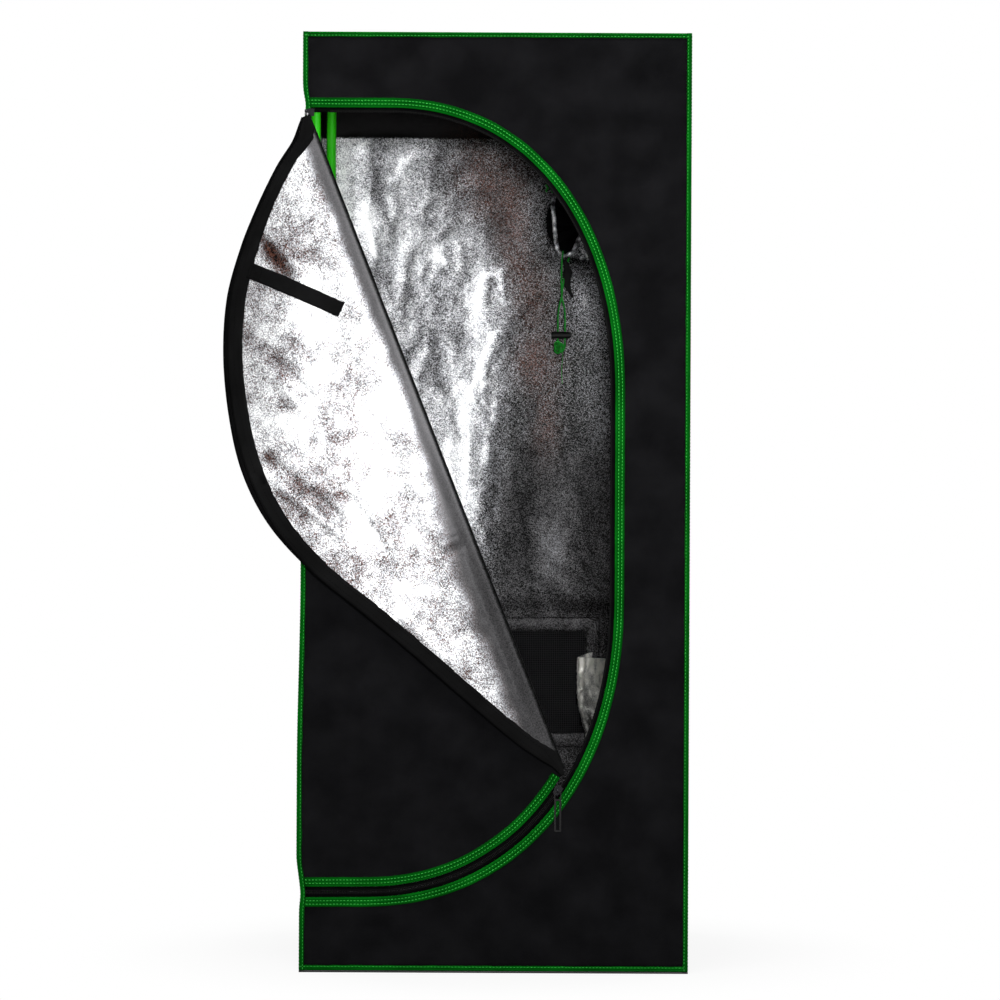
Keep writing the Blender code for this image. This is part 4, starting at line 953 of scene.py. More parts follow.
def back_shade(x, z):
    """Painted light and shade of the back wall: the light from the door falls on its left, the front panel
    shades its right and its top, the slopes of its waves are painted lighter or darker, and its patches and
    creases are painted reflections and shade.
    """
    ragged = BLACK_BAND_Z + 0.003 * ripple(x * 40.0, 0.0, 2.0)
    if z > ragged:
        return -1.0
    high = smooth_step((z - 1.10) / 0.30)
    edge = 0.006 - 0.150 * high - 0.045 * smooth_step((0.80 - z) / 0.25)
    shaded = smooth_step((x - edge + 0.045 + 0.03 * high) / (0.09 + 0.09 * high))
    # Painted shade: the slopes of the waves make the film lighter or darker, as if lit from one side
    slope = (wall_wave(x + SLOPE_STEP, z) - wall_wave(x - SLOPE_STEP, z)) / (2 * SLOPE_STEP)
    light = film_shade(x, 0.0, z, 0.50, 0.34) - slope * 1.2
    dark = film_shade(x, 2.0, z, 0.04 + 0.05 * high, 0.14) - slope * 0.3
    shade = light + (dark - light) * shaded
    return shade + spot_shade(WALL_SHADE_PATCHES, x, z) + crease_height(WALL_PAINTED_CREASES, x, z)


set_film(
    rear_panel,
    [back_shade(p.x, p.y) for p in flat],
    [0.90 - 0.45 * smooth_step((p.x + 0.03) / 0.06) * smooth_step((0.95 - p.y) / 0.20) for p in flat],
    [0.65 * min(1.0, spot_shade(WALL_WARM_SPOTS, p.x, p.y)) for p in flat],
)
thicken(rear_panel)
fit(rear_panel, "tent", "black_cloth", "rear_panel")

# Side panels and roof: whole lengths of the same lined cloth, slack between the poles. The roof's inside
# is black as well.

SIDE_SPACING = 0.011
SLACK_DEPTH = 0.004


def grid_cloth(name, corner, first, second, out, wave, finishes, shade):
    """A rectangular cloth from its corner and its two sides; wave is how far it bellies along out."""
    columns = max(2, round(first.length / SIDE_SPACING))
    rows = max(2, round(second.length / SIDE_SPACING))
    points = []
    places = []
    shades = []
    for row in range(rows + 1):
        for column in range(columns + 1):
            u, v = column / columns, row / rows
            spot = corner + first * u + second * v
            spot = spot + out * wave(u * first.length, v * second.length)
            points.append(spot)
            places.append((u * first.length, v * second.length))
            shades.append(shade(spot))
    faces = grid_faces(rows + 1, columns + 1)
    if first.cross(second).dot(out) < 0:
        faces = [face[::-1] for face in faces]
    thing = piece(name, points, faces, places, finishes)
    set_film(thing, shades)
    return thing


def slack(width, height, seed):
    """Waves of a slack panel, none at its edges."""

    def wave(u, v):
        edge = min(u, width - u, v, height - v)
        calm = smooth_step((edge - 0.012) / 0.05)
        swell = ripple(u * 10.0, seed, v * 3.5) + 0.5 * ripple(u * 27.0, seed, v * 9.0)
        return calm * (SLACK_DEPTH * 0.55 * swell - crumple(u, seed, v, 0.045, SLACK_DEPTH * 0.35))

    return wave


def side_shade(spot):
    if spot.z > BLACK_BAND_Z + 0.004 * ripple(spot.y * 40.0, 0.0, 2.0):
        return -1.0
    return film_shade(spot.x, spot.y, spot.z, 0.55, 0.6)


side_height = WALL_TOP_Z - WALL_FOOT_Z
side_depth = 2 * (SKIN - CLOTH - CLEARANCE)
for name, side in (("left", -1), ("right", 1)):
    panel = grid_cloth(
        name + "_panel_cloth",
        Vector((side * (SKIN - CLOTH / 2), -side_depth / 2, WALL_FOOT_Z)),
        Vector((0.0, side_depth, 0.0)),
        Vector((0.0, 0.0, side_height)),
        Vector((side, 0.0, 0.0)),
        slack(side_depth, side_height, 11.3 + side),
        [black_cloth, wall_film],
        side_shade,
    )
    if side < 0:
        settle(panel)
    thicken(panel)
    fit(panel, "tent", "black_cloth", name + "_panel")

roof = grid_cloth(
    "roof_cloth",
    Vector((-SKIN, -SKIN, ROOF_TOP_Z - CLOTH / 2)),
    Vector((2 * SKIN, 0.0, 0.0)),
    Vector((0.0, 2 * SKIN, 0.0)),
    Vector((0.0, 0.0, 1.0)),
    lambda u, v: -0.9 * abs(slack(2 * SKIN, 2 * SKIN, 31.7)(u, v)),
    [black_cloth, black_cloth],
    lambda spot: -1.0,
)
thicken(roof)
fit(roof, "tent", "black_cloth", "roof_panel")

# Floor: a heavier coated black cloth, cut to the tent's full outline. It lies flat under the base rails, and
# the lower binding sews it to the four walls.

FLOOR_CLOTH = 0.0030
coated_cloth = woven_finish(
    "coated_floor_cloth", (0.004, 0.004, 0.004), (0.012, 0.012, 0.013), 0.0014, 0.0002, 0.42, 0.25, amount=0.7
)
floor = grid_cloth(
    "floor_cloth",
    Vector((-TENT_WIDTH / 2, -TENT_DEPTH / 2, FLOOR_CLOTH / 2)),
    Vector((TENT_WIDTH, 0.0, 0.0)),
    Vector((0.0, TENT_DEPTH, 0.0)),
    Vector((0.0, 0.0, 1.0)),
    lambda u, v: 0.0,
    [coated_cloth, coated_cloth],
    lambda spot: 0.0,
)
thicken(floor, FLOOR_CLOTH - CLEARANCE)
fit(floor, "tent", "black_cloth", "floor_panel")

# Edge binding: green ribbed tape, folded over each of the twelve seams and sewn through with one row of
# lighter thread on each face. The stitches draw it in a little, so its edges are gently scalloped.

BINDING_WIDTH = 0.0080
BINDING_THICKNESS = 0.0012
BINDING_FOOT_Z = 0.0033
BINDING_ROUND = 0.0016
STITCH_PITCH = 0.0054
RIB_PITCH = 0.0012
RIDGE_PITCH = 0.0050

green_ribbon, tree, shader = new_finish("green_ribbon", {"Specular IOR Level": 0.0})
place = cloth_place(tree)
parts = add_node(tree, "SeparateXYZ", {0: place}).outputs
ribs = ridged(tree, parts[0], RIB_PITCH)
ridges = ridged(tree, parts[1], RIDGE_PITCH)
marks = use_group(tree, lint, {"Place": place, "Amount": 0.6})
# Painted shade: the tops of the ribs and ridges are lighter and the hollows between them darker
share = reckon(tree, "MULTIPLY_ADD", ribs, 0.30, reckon(tree, "MULTIPLY_ADD", ridges, 0.55, marks["Haze"]))
share = reckon(tree, "MULTIPLY_ADD", share, 1.0, -0.15)
green = blended(tree, share, (0.0003, 0.036, 0.002, 1.0), (0.0022, 0.122, 0.007, 1.0))
feed(tree, shader.inputs["Base Color"], green)
feed(tree, shader.inputs["Roughness"], reckon(tree, "MULTIPLY_ADD", marks["Haze"], 0.1, 0.62))
rough_up(tree, shader, reckon(tree, "MULTIPLY_ADD", ridges, 2.0, ribs), 0.00025)

green_thread = woven_finish(
    "green_thread", (0.022, 0.330, 0.036), (0.065, 0.500, 0.080), 0.0004, 0.0001, 0.6, 0.05
)


def small_bars(name, spots, length, width, height, finish):
    """Many small bars with chamfered tops; each spot is a centre, a direction along and one outwards."""
    points = []
    places = []
    faces = []
    for centre, along, out in spots:
        across = along.cross(out).normalized()
        first = len(points)
        for shrink, lift in ((1.0, 0.0), (1.0, 0.55), (0.55, 1.0)):
            for a, b in ((-1, -1), (1, -1), (1, 1), (-1, 1)):
                reach = along * (a * length * (0.5 if lift < 0.9 else 0.36))
                reach += across * (b * width / 2 * shrink)
                points.append(centre + reach + out * (lift * height))
                places.append((a * length / 2, b * width / 2))
        for base in (first, first + 4):
            for i in range(4):
                j = (i + 1) % 4
                faces.append((base + j, base + i, base + 4 + i, base + 4 + j))
        faces.append((first + 11, first + 10, first + 9, first + 8))
    return piece(name, points, faces, places, [finish])


def binding_section(wobble):
    """The bent tape's section as (distance from the seam along each face, thickness), outer side first."""
    outer = [(0.0, BINDING_WIDTH + wobble), (0.0, BINDING_ROUND)]
    outer += [
        (BINDING_ROUND * (1 - math.cos(t)), BINDING_ROUND * (1 - math.sin(t)))
        for t in (math.pi / 8, math.pi / 4, 3 * math.pi / 8)
    ]
    outer += [(BINDING_ROUND, 0.0), (BINDING_WIDTH + wobble, 0.0)]
    inner = [
        (BINDING_WIDTH + wobble, BINDING_THICKNESS),
        (BINDING_THICKNESS, BINDING_THICKNESS),
        (BINDING_THICKNESS, BINDING_WIDTH + wobble),
    ]
    return outer, inner


def binding_edge(start, end, first, second, depth):
    """Rings of a binding along one edge; first and second point inwards along its two faces."""
    run = end - start
    count = round(run.length / 0.0028)
    rings = []
    seams = []
    for i in range(count + 1):
        travelled = run.length * i / count
        draw = math.cos(2 * math.pi * travelled / STITCH_PITCH)
        wobble = 0.00025 * draw + 0.0007 * ripple(travelled * 55.0, start.x * 9, start.y * 7 + end.z)
        outer, inner = binding_section(wobble)
        origin = start + run * (i / count) + (first + second) * depth
        puff = 0.00012 * draw
        ring = [origin + first * a + second * b for a, b in outer + inner]
        ring[0] -= first * puff
        ring[6] -= second * puff
        rings.append(ring)
    along = run.normalized()
    for leg, other in ((first, second), (second, first)):
        for k in range(int(run.length / STITCH_PITCH)):
            spot = start + along * ((k + 0.5) * STITCH_PITCH) + leg * (BINDING_WIDTH * 0.74) + other * depth
            seams.append((spot, along, -other))
    return rings, seams


half = Vector((TENT_WIDTH / 2, TENT_DEPTH / 2, TENT_HEIGHT))
x_axis, y_axis, z_axis = Vector((1, 0, 0)), Vector((0, 1, 0)), Vector((0, 0, 1))
edges = []
for sx in (-1, 1):
    for sy in (-1, 1):
        start = Vector((sx * half.x, sy * half.y, BINDING_FOOT_Z))
        edges.append((start, Vector((start.x, start.y, half.z)), -sx * x_axis, -sy * y_axis, 0.0))
for sz, height in ((1, BINDING_FOOT_Z), (-1, half.z)):
    for side in (-1, 1):
        for axis, other in ((x_axis, y_axis), (y_axis, x_axis)):
            start = other * (side * TENT_WIDTH / 2) - axis * (TENT_WIDTH / 2 - 0.0004) + z_axis * height
            end = start + axis * (TENT_WIDTH - 0.0008)
            depth = 0.0001 if axis is x_axis else 0.0002
            edges.append((start, end, -side * other, sz * z_axis, depth))
tapes = []
seams = []
for index, edge in enumerate(edges):
    rings, found = binding_edge(*edge)
    tapes.append(settle(loft(f"binding_{index + 1}", rings, green_ribbon)))
    seams += found
binding = tapes[0]
fit(binding, "tent", "green_binding", "edge_binding")
for tape in tapes[1:]:
    fit(tape, "tent", "green_binding")
stitches = settle(small_bars("binding_stitches", seams, 0.0026, 0.0009, 0.0005, green_thread))
fit(stitches, "tent", "green_binding")

# Opening: half of a black coil zip on its woven tape runs round the hole. Over the tape's sewn side lies
# a green ribbed trim with a row of thread near each edge.

TRIM_WIDTH = 0.0148
TRIM_END = 0.0231
TAPE_THICKNESS = 0.0008
COIL_WIDTH = 0.0030
COIL_HEIGHT = 0.0010
COIL_PITCH = 0.0026
TRIM_LEFT_X = -0.2967
TRIM_SEAM_SHARES = (0.36, 0.72)

black_tape = woven_finish(
    "black_tape", (0.0015, 0.0015, 0.0015), (0.0060, 0.0060, 0.0064), 0.0007, 0.00015, 0.7, 0.0
)
coil_plastic = hard_finish(
    "coil_plastic",
    (0.004, 0.004, 0.004),
    (0.012, 0.012, 0.012),
    200.0,
    0.4,
    0.00002,
    {"Specular IOR Level": 0.05},
    0.40,
)


def ribbed(start, end, thickness, steps=12):
    """Section of a ribbed band as (across, lift), its ribs on the outer side."""
    section = [(start, 0.0), (start, thickness * 0.7)]
    for i in range(1, steps):
        share = i / steps
        rise = 0.5 + 0.5 * math.cos(2 * math.pi * (share * 3 - 0.5))
        edge = min(1.0, 8 * min(share, 1 - share))
        section.append((start + (end - start) * share, thickness * (0.82 + 0.28 * rise * edge)))
    section += [(end, thickness * 0.7), (end, 0.0)]
    return section


def front_rings(path, section, y):
    """Rings of a band along a path of the front plane, from a section of (inset, forward)."""
    lines = {inset: shifted(path, inset) for inset in {inset for inset, lift in section}}
    rings = []
    for i in range(len(path)):
        rings.append([Vector((lines[inset][i].x, y - lift, lines[inset][i].y)) for inset, lift in section])
    return rings


def front_spots(path, inset, y, pitch):
    """Spots at even steps along a path of the front plane."""
    line = spaced(shifted(path, inset), pitch)
    spots = []
    for a, b in zip(line, line[1:]):
        along = (b - a).normalized()
        middle = Vector(((a.x + b.x) / 2, y, (a.y + b.y) / 2))
        spots.append((middle, Vector((along.x, 0.0, along.y)), -y_axis))
    return spots


def trimmed_edge(name, path, side, y, start, end):
    """A green trim beside a path, with its two rows of stitches; side is -1 outside and 1 inside."""
    section = ribbed(side * start, side * end, BINDING_THICKNESS)
    trim = settle(loft(name, front_rings(path, section, y), green_ribbon))
    spots = []
    for share in TRIM_SEAM_SHARES:
        inset = side * (start + (end - start) * share)
        spots += front_spots(path, inset, y - BINDING_THICKNESS * 0.95, STITCH_PITCH)
    seam = settle(small_bars(name + "_stitches", spots, 0.0028, 0.0012, 0.0006, green_thread))
    return trim, seam


def coil_spots(path, side, y):
    """Where each turn of the coil stands, across the path."""
    spots = []
    for centre, along, out in front_spots(path, side * (CLEARANCE / 2 + COIL_WIDTH / 2), y, COIL_PITCH):
        spots.append((centre, out.cross(along), out))
    return spots


opening_path = spaced(zip_path(TRIM_LEFT_X), 0.006)
trim_back = -SKIN - CLEARANCE
tape_back = -SKIN + TAPE_THICKNESS
trim, seam = trimmed_edge("opening_trim_band", opening_path, -1, trim_back, TAPE_WIDTH, TRIM_END)
fit(trim, "tent", "green_binding", "opening_trim")
fit(seam, "tent", "green_binding")

tape_section = [
    (-CLEARANCE / 2, 0.0),
    (-CLEARANCE / 2, TAPE_THICKNESS),
    (-TAPE_WIDTH, TAPE_THICKNESS),
    (-TAPE_WIDTH, 0.0),
]
tape = settle(loft("opening_tape", front_rings(opening_path, tape_section, tape_back), black_tape))
fit(tape, "tent", "black_webbing", "opening_zip_tape")
# The coil stops short where the flap's tape lies over it at its two tips when the door is shut
FLAP_TIPS = ((-0.2764, 1.3505), (0.1290, 0.3340))
TIP_REACH = 0.012
teeth = [
    (centre, across, out)
    for centre, across, out in coil_spots(opening_path, -1, tape_back - TAPE_THICKNESS)
    if min(math.hypot(centre.x - x, centre.z - z) for x, z in FLAP_TIPS) > TIP_REACH
]
coil = settle(small_bars("opening_coil", teeth, COIL_WIDTH, COIL_PITCH * 0.7, COIL_HEIGHT, coil_plastic))
fit(coil, "tent", "black_webbing")

# Closed part of the door: the lower left piece of the same lined cloth, zipped shut below and sewn to the
# front along the left edge. It ends at the straight fold, where the cloth turns over.

FOLD_TOP = Vector((-0.3024, 1.3500))
FOLD_FOOT = Vector((0.1119, 0.3011))
FOLD_LENGTH = (FOLD_FOOT - FOLD_TOP).length
FOLD_DOWN = (FOLD_FOOT - FOLD_TOP).normalized()
FOLD_ACROSS = Vector((-FOLD_DOWN.y, FOLD_DOWN.x))
FOLD_RADIUS = 0.0060


def beyond_fold(point):
    """How far a point of the front plane lies to the right of the fold."""
    return (point - FOLD_TOP).dot(FOLD_ACROSS)


def after_fold(path, gap):
    """The end of a path from where it last crosses the fold, less a gap."""
    last = max(i for i, point in enumerate(path) if beyond_fold(point) > -gap)
    a = path[last]
    b = path[last + 1]
    share = (beyond_fold(a) + gap) / (beyond_fold(a) - beyond_fold(b))
    return [a.lerp(b, share)] + path[last + 1 :]


cloth_line = after_fold(shifted(zip_path(-SKIN), TAPE_WIDTH + CLEARANCE), CLEARANCE)
top = ZIP_TOP_Z - TAPE_WIDTH - CLEARANCE
fold_head = FOLD_TOP + FOLD_DOWN * ((FOLD_TOP.y - top) / -FOLD_DOWN.y) - FOLD_ACROSS * CLEARANCE
door_loop = [*spaced(cloth_line, 0.010), Vector((-SKIN, top)), fold_head]
door_cloth, door_area = front_cloth("closed_door_cloth", door_loop)
fit(door_cloth, "tent", "black_cloth", "door_panel")

foot = next(i for i, p in enumerate(opening_path) if p.y < LOWER_SLIDER_PLACE[1])
closed_path = opening_path[foot:]
tape_section = [(side * -1, lift) for side, lift in tape_section][::-1]
tape = settle(loft("door_tape", front_rings(closed_path, tape_section, tape_back), black_tape))
fit(tape, "tent", "black_webbing", "door_zip_tape")
teeth = coil_spots(closed_path, 1, tape_back - TAPE_THICKNESS)
coil = settle(small_bars("door_coil", teeth, COIL_WIDTH, COIL_PITCH * 0.7, COIL_HEIGHT, coil_plastic))
fit(coil, "tent", "black_webbing")

trim_path = after_fold(shifted(zip_path(TRIM_LEFT_X), TAPE_WIDTH + CLEARANCE), FOLD_RADIUS)
trim, seam = trimmed_edge("door_trim_band", spaced(trim_path, 0.006), 1, trim_back, 0.0, TRIM_WIDTH)
fit(trim, "tent", "green_binding", "door_trim")
fit(seam, "tent", "green_binding")

# Folded door: the cloth turns over in a soft roll and hangs back past the tent's left edge, film outwards.
# The film keeps the creases of its packing. It is one cloth with the roll.

# Down the fold and out to the free edge, both as shares of the fold's length
FLAP_EDGE_SHARES = (
    (0.0080, 0.0060),
    (0.0165, 0.0140),
    (0.0360, 0.0330),
    (0.0600, 0.0665),
    (0.1020, 0.1135),
    (0.1450, 0.1552),
    (0.2020, 0.1986),
    (0.2780, 0.2332),
    (0.3600, 0.2545),
    (0.4400, 0.2633),
    (0.5200, 0.2540),
    (0.6000, 0.2230),
    (0.6800, 0.1773),
    (0.7600, 0.1330),
    (0.8400, 0.0913),
    (0.9200, 0.0480),
    (0.9600, 0.0205),
    (0.9720, 0.0100),
    (0.9830, 0.0040),
)
FLAP_ROWS_PER_STATION = 13
FLAP_COLUMNS = 64
ROLL_STEPS = 12
FLAP_TAPER = 0.034
FLAP_Y = -SKIN + CLOTH / 2 - 2 * FOLD_RADIUS
OVERHANG_START_X = -0.307
OVERHANG = 0.119
CURL_DEPTH = 0.068
CURL_FOOT_Z = 0.640
CURL_HEAD_Z = 0.960
BELLY = 0.007
ROLL_PUFF = 0.0042
NORMAL_STEP = 0.001
# Creases of the flap: both ends, half width and height, forwards. Their heights also add painted highlights
# and painted shade along them.
FLAP_CREASES = (
    (-0.368, 1.150, -0.326, 1.092, 0.006, -0.0030),
    (-0.352, 1.155, -0.312, 1.104, 0.006, 0.0035),
    (-0.337, 1.010, -0.292, 0.985, 0.005, 0.0026),
    (-0.378, 0.965, -0.300, 0.880, 0.007, 0.0034),
    (-0.365, 0.985, -0.290, 0.905, 0.006, -0.0024),
    (-0.372, 0.790, -0.245, 0.690, 0.007, 0.0036),
    (-0.360, 0.810, -0.240, 0.712, 0.006, -0.0026),
    (-0.300, 0.742, -0.226, 0.761, 0.004, 0.0026),
    (-0.226, 0.761, -0.158, 0.664, 0.005, 0.0022),
    (-0.150, 0.560, -0.060, 0.480, 0.006, 0.0020),
    (-0.085, 0.672, -0.054, 0.684, 0.004, 0.0034),
    (-0.080, 0.655, -0.050, 0.662, 0.003, -0.0028),
    (-0.190, 1.060, -0.250, 0.930, 0.006, 0.0016),
)
# Painted shade of the flap's film, dim patches where it reflects less: place, half width, half height, lean
# and change of shade
FLAP_SHADE_PATCHES = (
    (-0.349, 1.122, 0.013, 0.040, 0.65, -0.75),
    (-0.330, 1.130, 0.030, 0.045, 0.40, -0.25),
    (-0.318, 0.998, 0.012, 0.016, 0.30, -0.55),
    (-0.345, 0.925, 0.024, 0.070, 0.45, -0.50),
    (-0.330, 0.960, 0.014, 0.030, 0.30, -0.30),
    (-0.305, 0.735, 0.060, 0.046, 0.80, -0.42),
    (-0.348, 0.760, 0.030, 0.060, 0.50, -0.36),
    (-0.262, 0.752, 0.040, 0.008, -0.25, -0.40),
    (-0.190, 0.712, 0.050, 0.007, -0.96, -0.40),
    (-0.270, 0.655, 0.040, 0.016, -0.80, -0.30),
    (-0.067, 0.668, 0.014, 0.008, 0.30, -0.60),
    (-0.160, 0.560, 0.050, 0.020, -0.75, -0.22),
    (-0.060, 0.470, 0.050, 0.014, -0.75, -0.25),
    (-0.285, 1.240, 0.016, 0.030, 0.60, -0.35),
)

flap_film = film_finish("flap_film", 0.0008)


def flap_relief(x, z):
    """How far the flap stands forward of its plain surface: a full roll, creases and crushed film."""
    spot = Vector((x, z)) - FOLD_TOP
    out = -spot.dot(FOLD_ACROSS)
    down = spot.dot(FOLD_DOWN) / FOLD_LENGTH
    tips = smooth_step(down / 0.10) * smooth_step((0.97 - down) / 0.12)
    puff = ROLL_PUFF * smooth_step(out / 0.022) * smooth_step((0.085 - out) / 0.06)
    swell = 0.0024 * ripple(x * 11.0, 2.2, z * 6.0)
    calm = smooth_step(out / 0.02)
    crushed = crumple(x, 8.0, z, 0.034, 0.0013) + crumple(x, 3.0, z, 0.013, 0.0005)
    return tips * (puff + calm * (swell + crushed + crease_height(FLAP_CREASES, x, z)))


def flap_depth(x, z):
    """Depth of the flap's middle surface: it lies before the door and curls back past the tent's edge."""
    spot = Vector((x, z)) - FOLD_TOP
    down = spot.dot(FOLD_DOWN) / FOLD_LENGTH
    out = -spot.dot(FOLD_ACROSS) / (2 * OVERHANG)
    past = max(0.0, OVERHANG_START_X - x) / OVERHANG
    fade = smooth_step((z - CURL_FOOT_Z) / (CURL_HEAD_Z - CURL_FOOT_Z))
    belly = BELLY * smooth_step(out) * math.sin(math.pi * min(1.0, max(0.0, down))) ** 2
    return FLAP_Y - belly + CURL_DEPTH * fade * past * past - flap_relief(x, z)


def lifted_point(x, z, lift):
    """A point of the flap, raised towards the front by the lift."""
    here = flap_depth(x, z)
    slope_x = (flap_depth(x + NORMAL_STEP, z) - here) / NORMAL_STEP
    slope_z = (flap_depth(x, z + NORMAL_STEP) - here) / NORMAL_STEP
    normal = Vector((slope_x, -1.0, slope_z)).normalized()
    return Vector((x, here, z)) + normal * lift


def flap_point(down, out, lift):
    spot = FOLD_TOP + FOLD_DOWN * down - FOLD_ACROSS * out
    return lifted_point(spot.x, spot.y, lift)


def flap_stations():
    """Distance down the fold and out to the free edge, for each row of the flap."""
    count = (len(FLAP_EDGE_SHARES) - 1) * FLAP_ROWS_PER_STATION
    for row in range(count + 1):
        down, out = spline_point(FLAP_EDGE_SHARES, row / FLAP_ROWS_PER_STATION)
        yield down * FOLD_LENGTH, out * FOLD_LENGTH


def tip_taper(out):
    """How much of their full width the flap's bands keep, less only at its two narrow tips."""
    return min(1.0, out / FLAP_TAPER)


def roll_share(down, out):
    """How far a point has left the roll's grey side, which is wider low down, for the bright film."""
    low = smooth_step((down / FOLD_LENGTH - 0.42) / 0.30)
    wide = 0.024 + 0.030 * low + 0.012 * ripple(down * 24.0, 3.3, out * 30.0)
    return smooth_step((out + FOLD_RADIUS - 0.60 * wide) / (0.020 + 0.014 * low))


def roll_shade(down, out):
    """Painted shade of the roll's film: a dark line at its very edge, then dim and smooth, darker low down.
    """
    low = smooth_step((down / FOLD_LENGTH - 0.45) / 0.30)
    past_line = smooth_step((out + FOLD_RADIUS - 0.0020) / 0.0045)
    return past_line * (0.20 - 0.13 * low + (2.6 - 1.6 * low) * max(0.0, out))


def packed_shade(x, z, out):
    """Painted reflection and shade of the flap's film: clean and bright beside the roll, and more crushed and
    mottled low down and towards the free edge.
    """
    crushed = smooth_step((out - 0.05) / 0.09) * smooth_step((1.02 - z) / 0.12)
    long = ripple(x * 15.0 + z * 11.0, 4.4, z * 17.0 - x * 12.0)
    short = ripple(x * 48.0 + z * 20.0, 6.1, z * 44.0 - x * 20.0)
    return 0.72 + 0.06 * crushed + (0.40 + 0.10 * crushed) * (0.95 * long + 0.65 * short)


points = []
places = []
shades = []
grains = []
stations = list(flap_stations())
for down, out in stations:
    edge = out - (TAPE_WIDTH + CLEARANCE) * tip_taper(out)
    base = FOLD_TOP + FOLD_DOWN * down
    roll_middle = -SKIN + CLOTH / 2 - FOLD_RADIUS
    row = []
    for step in range(ROLL_STEPS):
        turn = math.pi * step / ROLL_STEPS
        spot = base + FOLD_ACROSS * (FOLD_RADIUS * math.sin(turn))
        rolled = Vector((spot.x, roll_middle + FOLD_RADIUS * math.cos(turn), spot.y))
        row.append((rolled, -FOLD_RADIUS * math.sin(turn)))
    for column in range(FLAP_COLUMNS + 1):
        place = edge * (column / FLAP_COLUMNS) ** 1.15
        row.append((flap_point(down, place, 0.0), place))
    for i, (point, place) in enumerate(row):
        points.append(point)
        places.append((down, place - (0.019 if i < ROLL_STEPS / 2 else 0.0)))
        # Painted shade and reflection: the roll's dim side blends into the packed film's bright and dark
        # patches, and the creases are painted lighter and darker
        roll = roll_shade(down, place)
        packed = packed_shade(point.x, point.z, place) + 0.8 * spot_shade(FLAP_SHADE_PATCHES, point.x, point.z)
        packed += 70.0 * crease_height(FLAP_CREASES, point.x, point.z)
        past_roll = roll_share(down, place)
        shades.append(roll + (packed - roll) * past_roll)
        grains.append(0.10 + 0.90 * past_roll)
faces = grid_faces(len(stations), ROLL_STEPS + FLAP_COLUMNS + 1)
folded_door = piece("folded_door_cloth", points, faces, places, [flap_film, black_cloth])
# The film past the roll gets a painted warm reflection in its dim specks
set_film(folded_door, shades, grains, [0.7 * (grain - 0.1) for grain in grains])
thicken(folded_door)
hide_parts("door_fold", "door_flap")
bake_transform(folded_door)

# Free edge of the flap: a black light band in front and the green trim behind, both sewn through, then the
# zip's tape with its coil turned to the back. All of them follow the flap's creases.

LIGHT_BAND_WIDTH = 0.0240
SEAM_INSETS = (TAPE_WIDTH + 0.0023, TRIM_END - 0.0022)
band_back = CLOTH / 2 + CLEARANCE
soft_section = [(0.0, 0.0), (0.0, 0.7)] + [(i / 6, 1.0) for i in range(1, 6)] + [(1.0, 0.7), (1.0, 0.0)]
front_section = [(share, lift * TAPE_THICKNESS) for share, lift in soft_section]


def light_band_rings():
    """The black band in front is as wide all along the curved edge, and covers the flap's two tips whole."""
    rings = []
    last = stations[-1]
    rows = stations + [(last[0] + step * 0.004, max(0.001, last[1] - step * 0.0012)) for step in range(1, 3)]
    for i, (down, out) in enumerate(rows):
        before, after = rows[max(0, i - 2)], rows[min(len(rows) - 1, i + 2)]
        slant = math.hypot(1.0, (after[1] - before[1]) / (after[0] - before[0]))
        base = FOLD_TOP + FOLD_DOWN * down
        curled = smooth_step((base.y - 0.66) / 0.25) * smooth_step((1.27 - base.y) / 0.15)
        foot = smooth_step((down / FOLD_LENGTH - 0.93) / 0.05)
        ragged = 0.0012 * ripple(down * 420.0, 0.5, 0.5)
        inner = min((LIGHT_BAND_WIDTH + 0.0095 * curled + ragged) * slant, out + 0.0040)
        low = smooth_step((down / FOLD_LENGTH - 0.45) / 0.20)
        outer = (TAPE_WIDTH + CLEARANCE) * tip_taper(out) * (1 - 0.85 * low) - 0.0010 * foot
        start, width = out - outer, inner - outer
        rings.append([flap_point(down, start - width * a, band_back + lift) for a, lift in front_section])
    return rings


def flap_band(name, start, end, back, section, finish):
    """A closed band on the flap between two distances from its free edge."""
    rings = []
    for down, out in stations:
        ring = []
        for a, lift in section:
            ring.append(flap_point(down, out - (start + (end - start) * a) * tip_taper(out), back + lift))
        rings.append(ring)
    return loft(name, rings, finish)


def flap_spots(inset, lift, pitch, forward=1.0):
    """Spots at even steps along the flap's edge, this far in from it."""
    line = []
    for down, out in stations:
        place = out - inset * tip_taper(out)
        line.append((flap_point(down, place, lift), flap_point(down, place, lift + 0.001)))
    spots = []
    travelled = 0.0
    wanted = pitch / 2
    for (a, a_up), (b, b_up) in zip(line, line[1:]):
        run = (b - a).length
        while wanted < travelled + run:
            share = (wanted - travelled) / run
            out = (a_up - a).lerp(b_up - b, share).normalized() * forward
            spots.append((a.lerp(b, share), (b - a).normalized(), out))
            wanted += pitch
        travelled += run
    return spots


webbing = woven_finish(
    "black_webbing", (0.0035, 0.0035, 0.0035), (0.0125, 0.0125, 0.0128), 0.0011, 0.0003, 0.75, 0.0
)
band = loft("flap_light_band_cloth", light_band_rings(), webbing)
fit(band, "door", "black_webbing", "flap_light_band")
rear_section = [(a, -lift) for a, lift in ribbed(0.0, 1.0, BINDING_THICKNESS)]
trim = flap_band("flap_trim_band", TAPE_WIDTH + CLEARANCE, TRIM_END, -band_back, rear_section, green_ribbon)
fit(trim, "door", "green_binding", "flap_trim")
behind = []
before = []
for inset in SEAM_INSETS:
    behind += flap_spots(inset, -band_back - BINDING_THICKNESS * 0.95, STITCH_PITCH, -1.0)
    before += flap_spots(inset, band_back + TAPE_THICKNESS * 0.95, STITCH_PITCH)
fit(small_bars("flap_trim_stitches", behind, 0.0028, 0.0009, 0.0005, green_thread), "door", "green_binding")
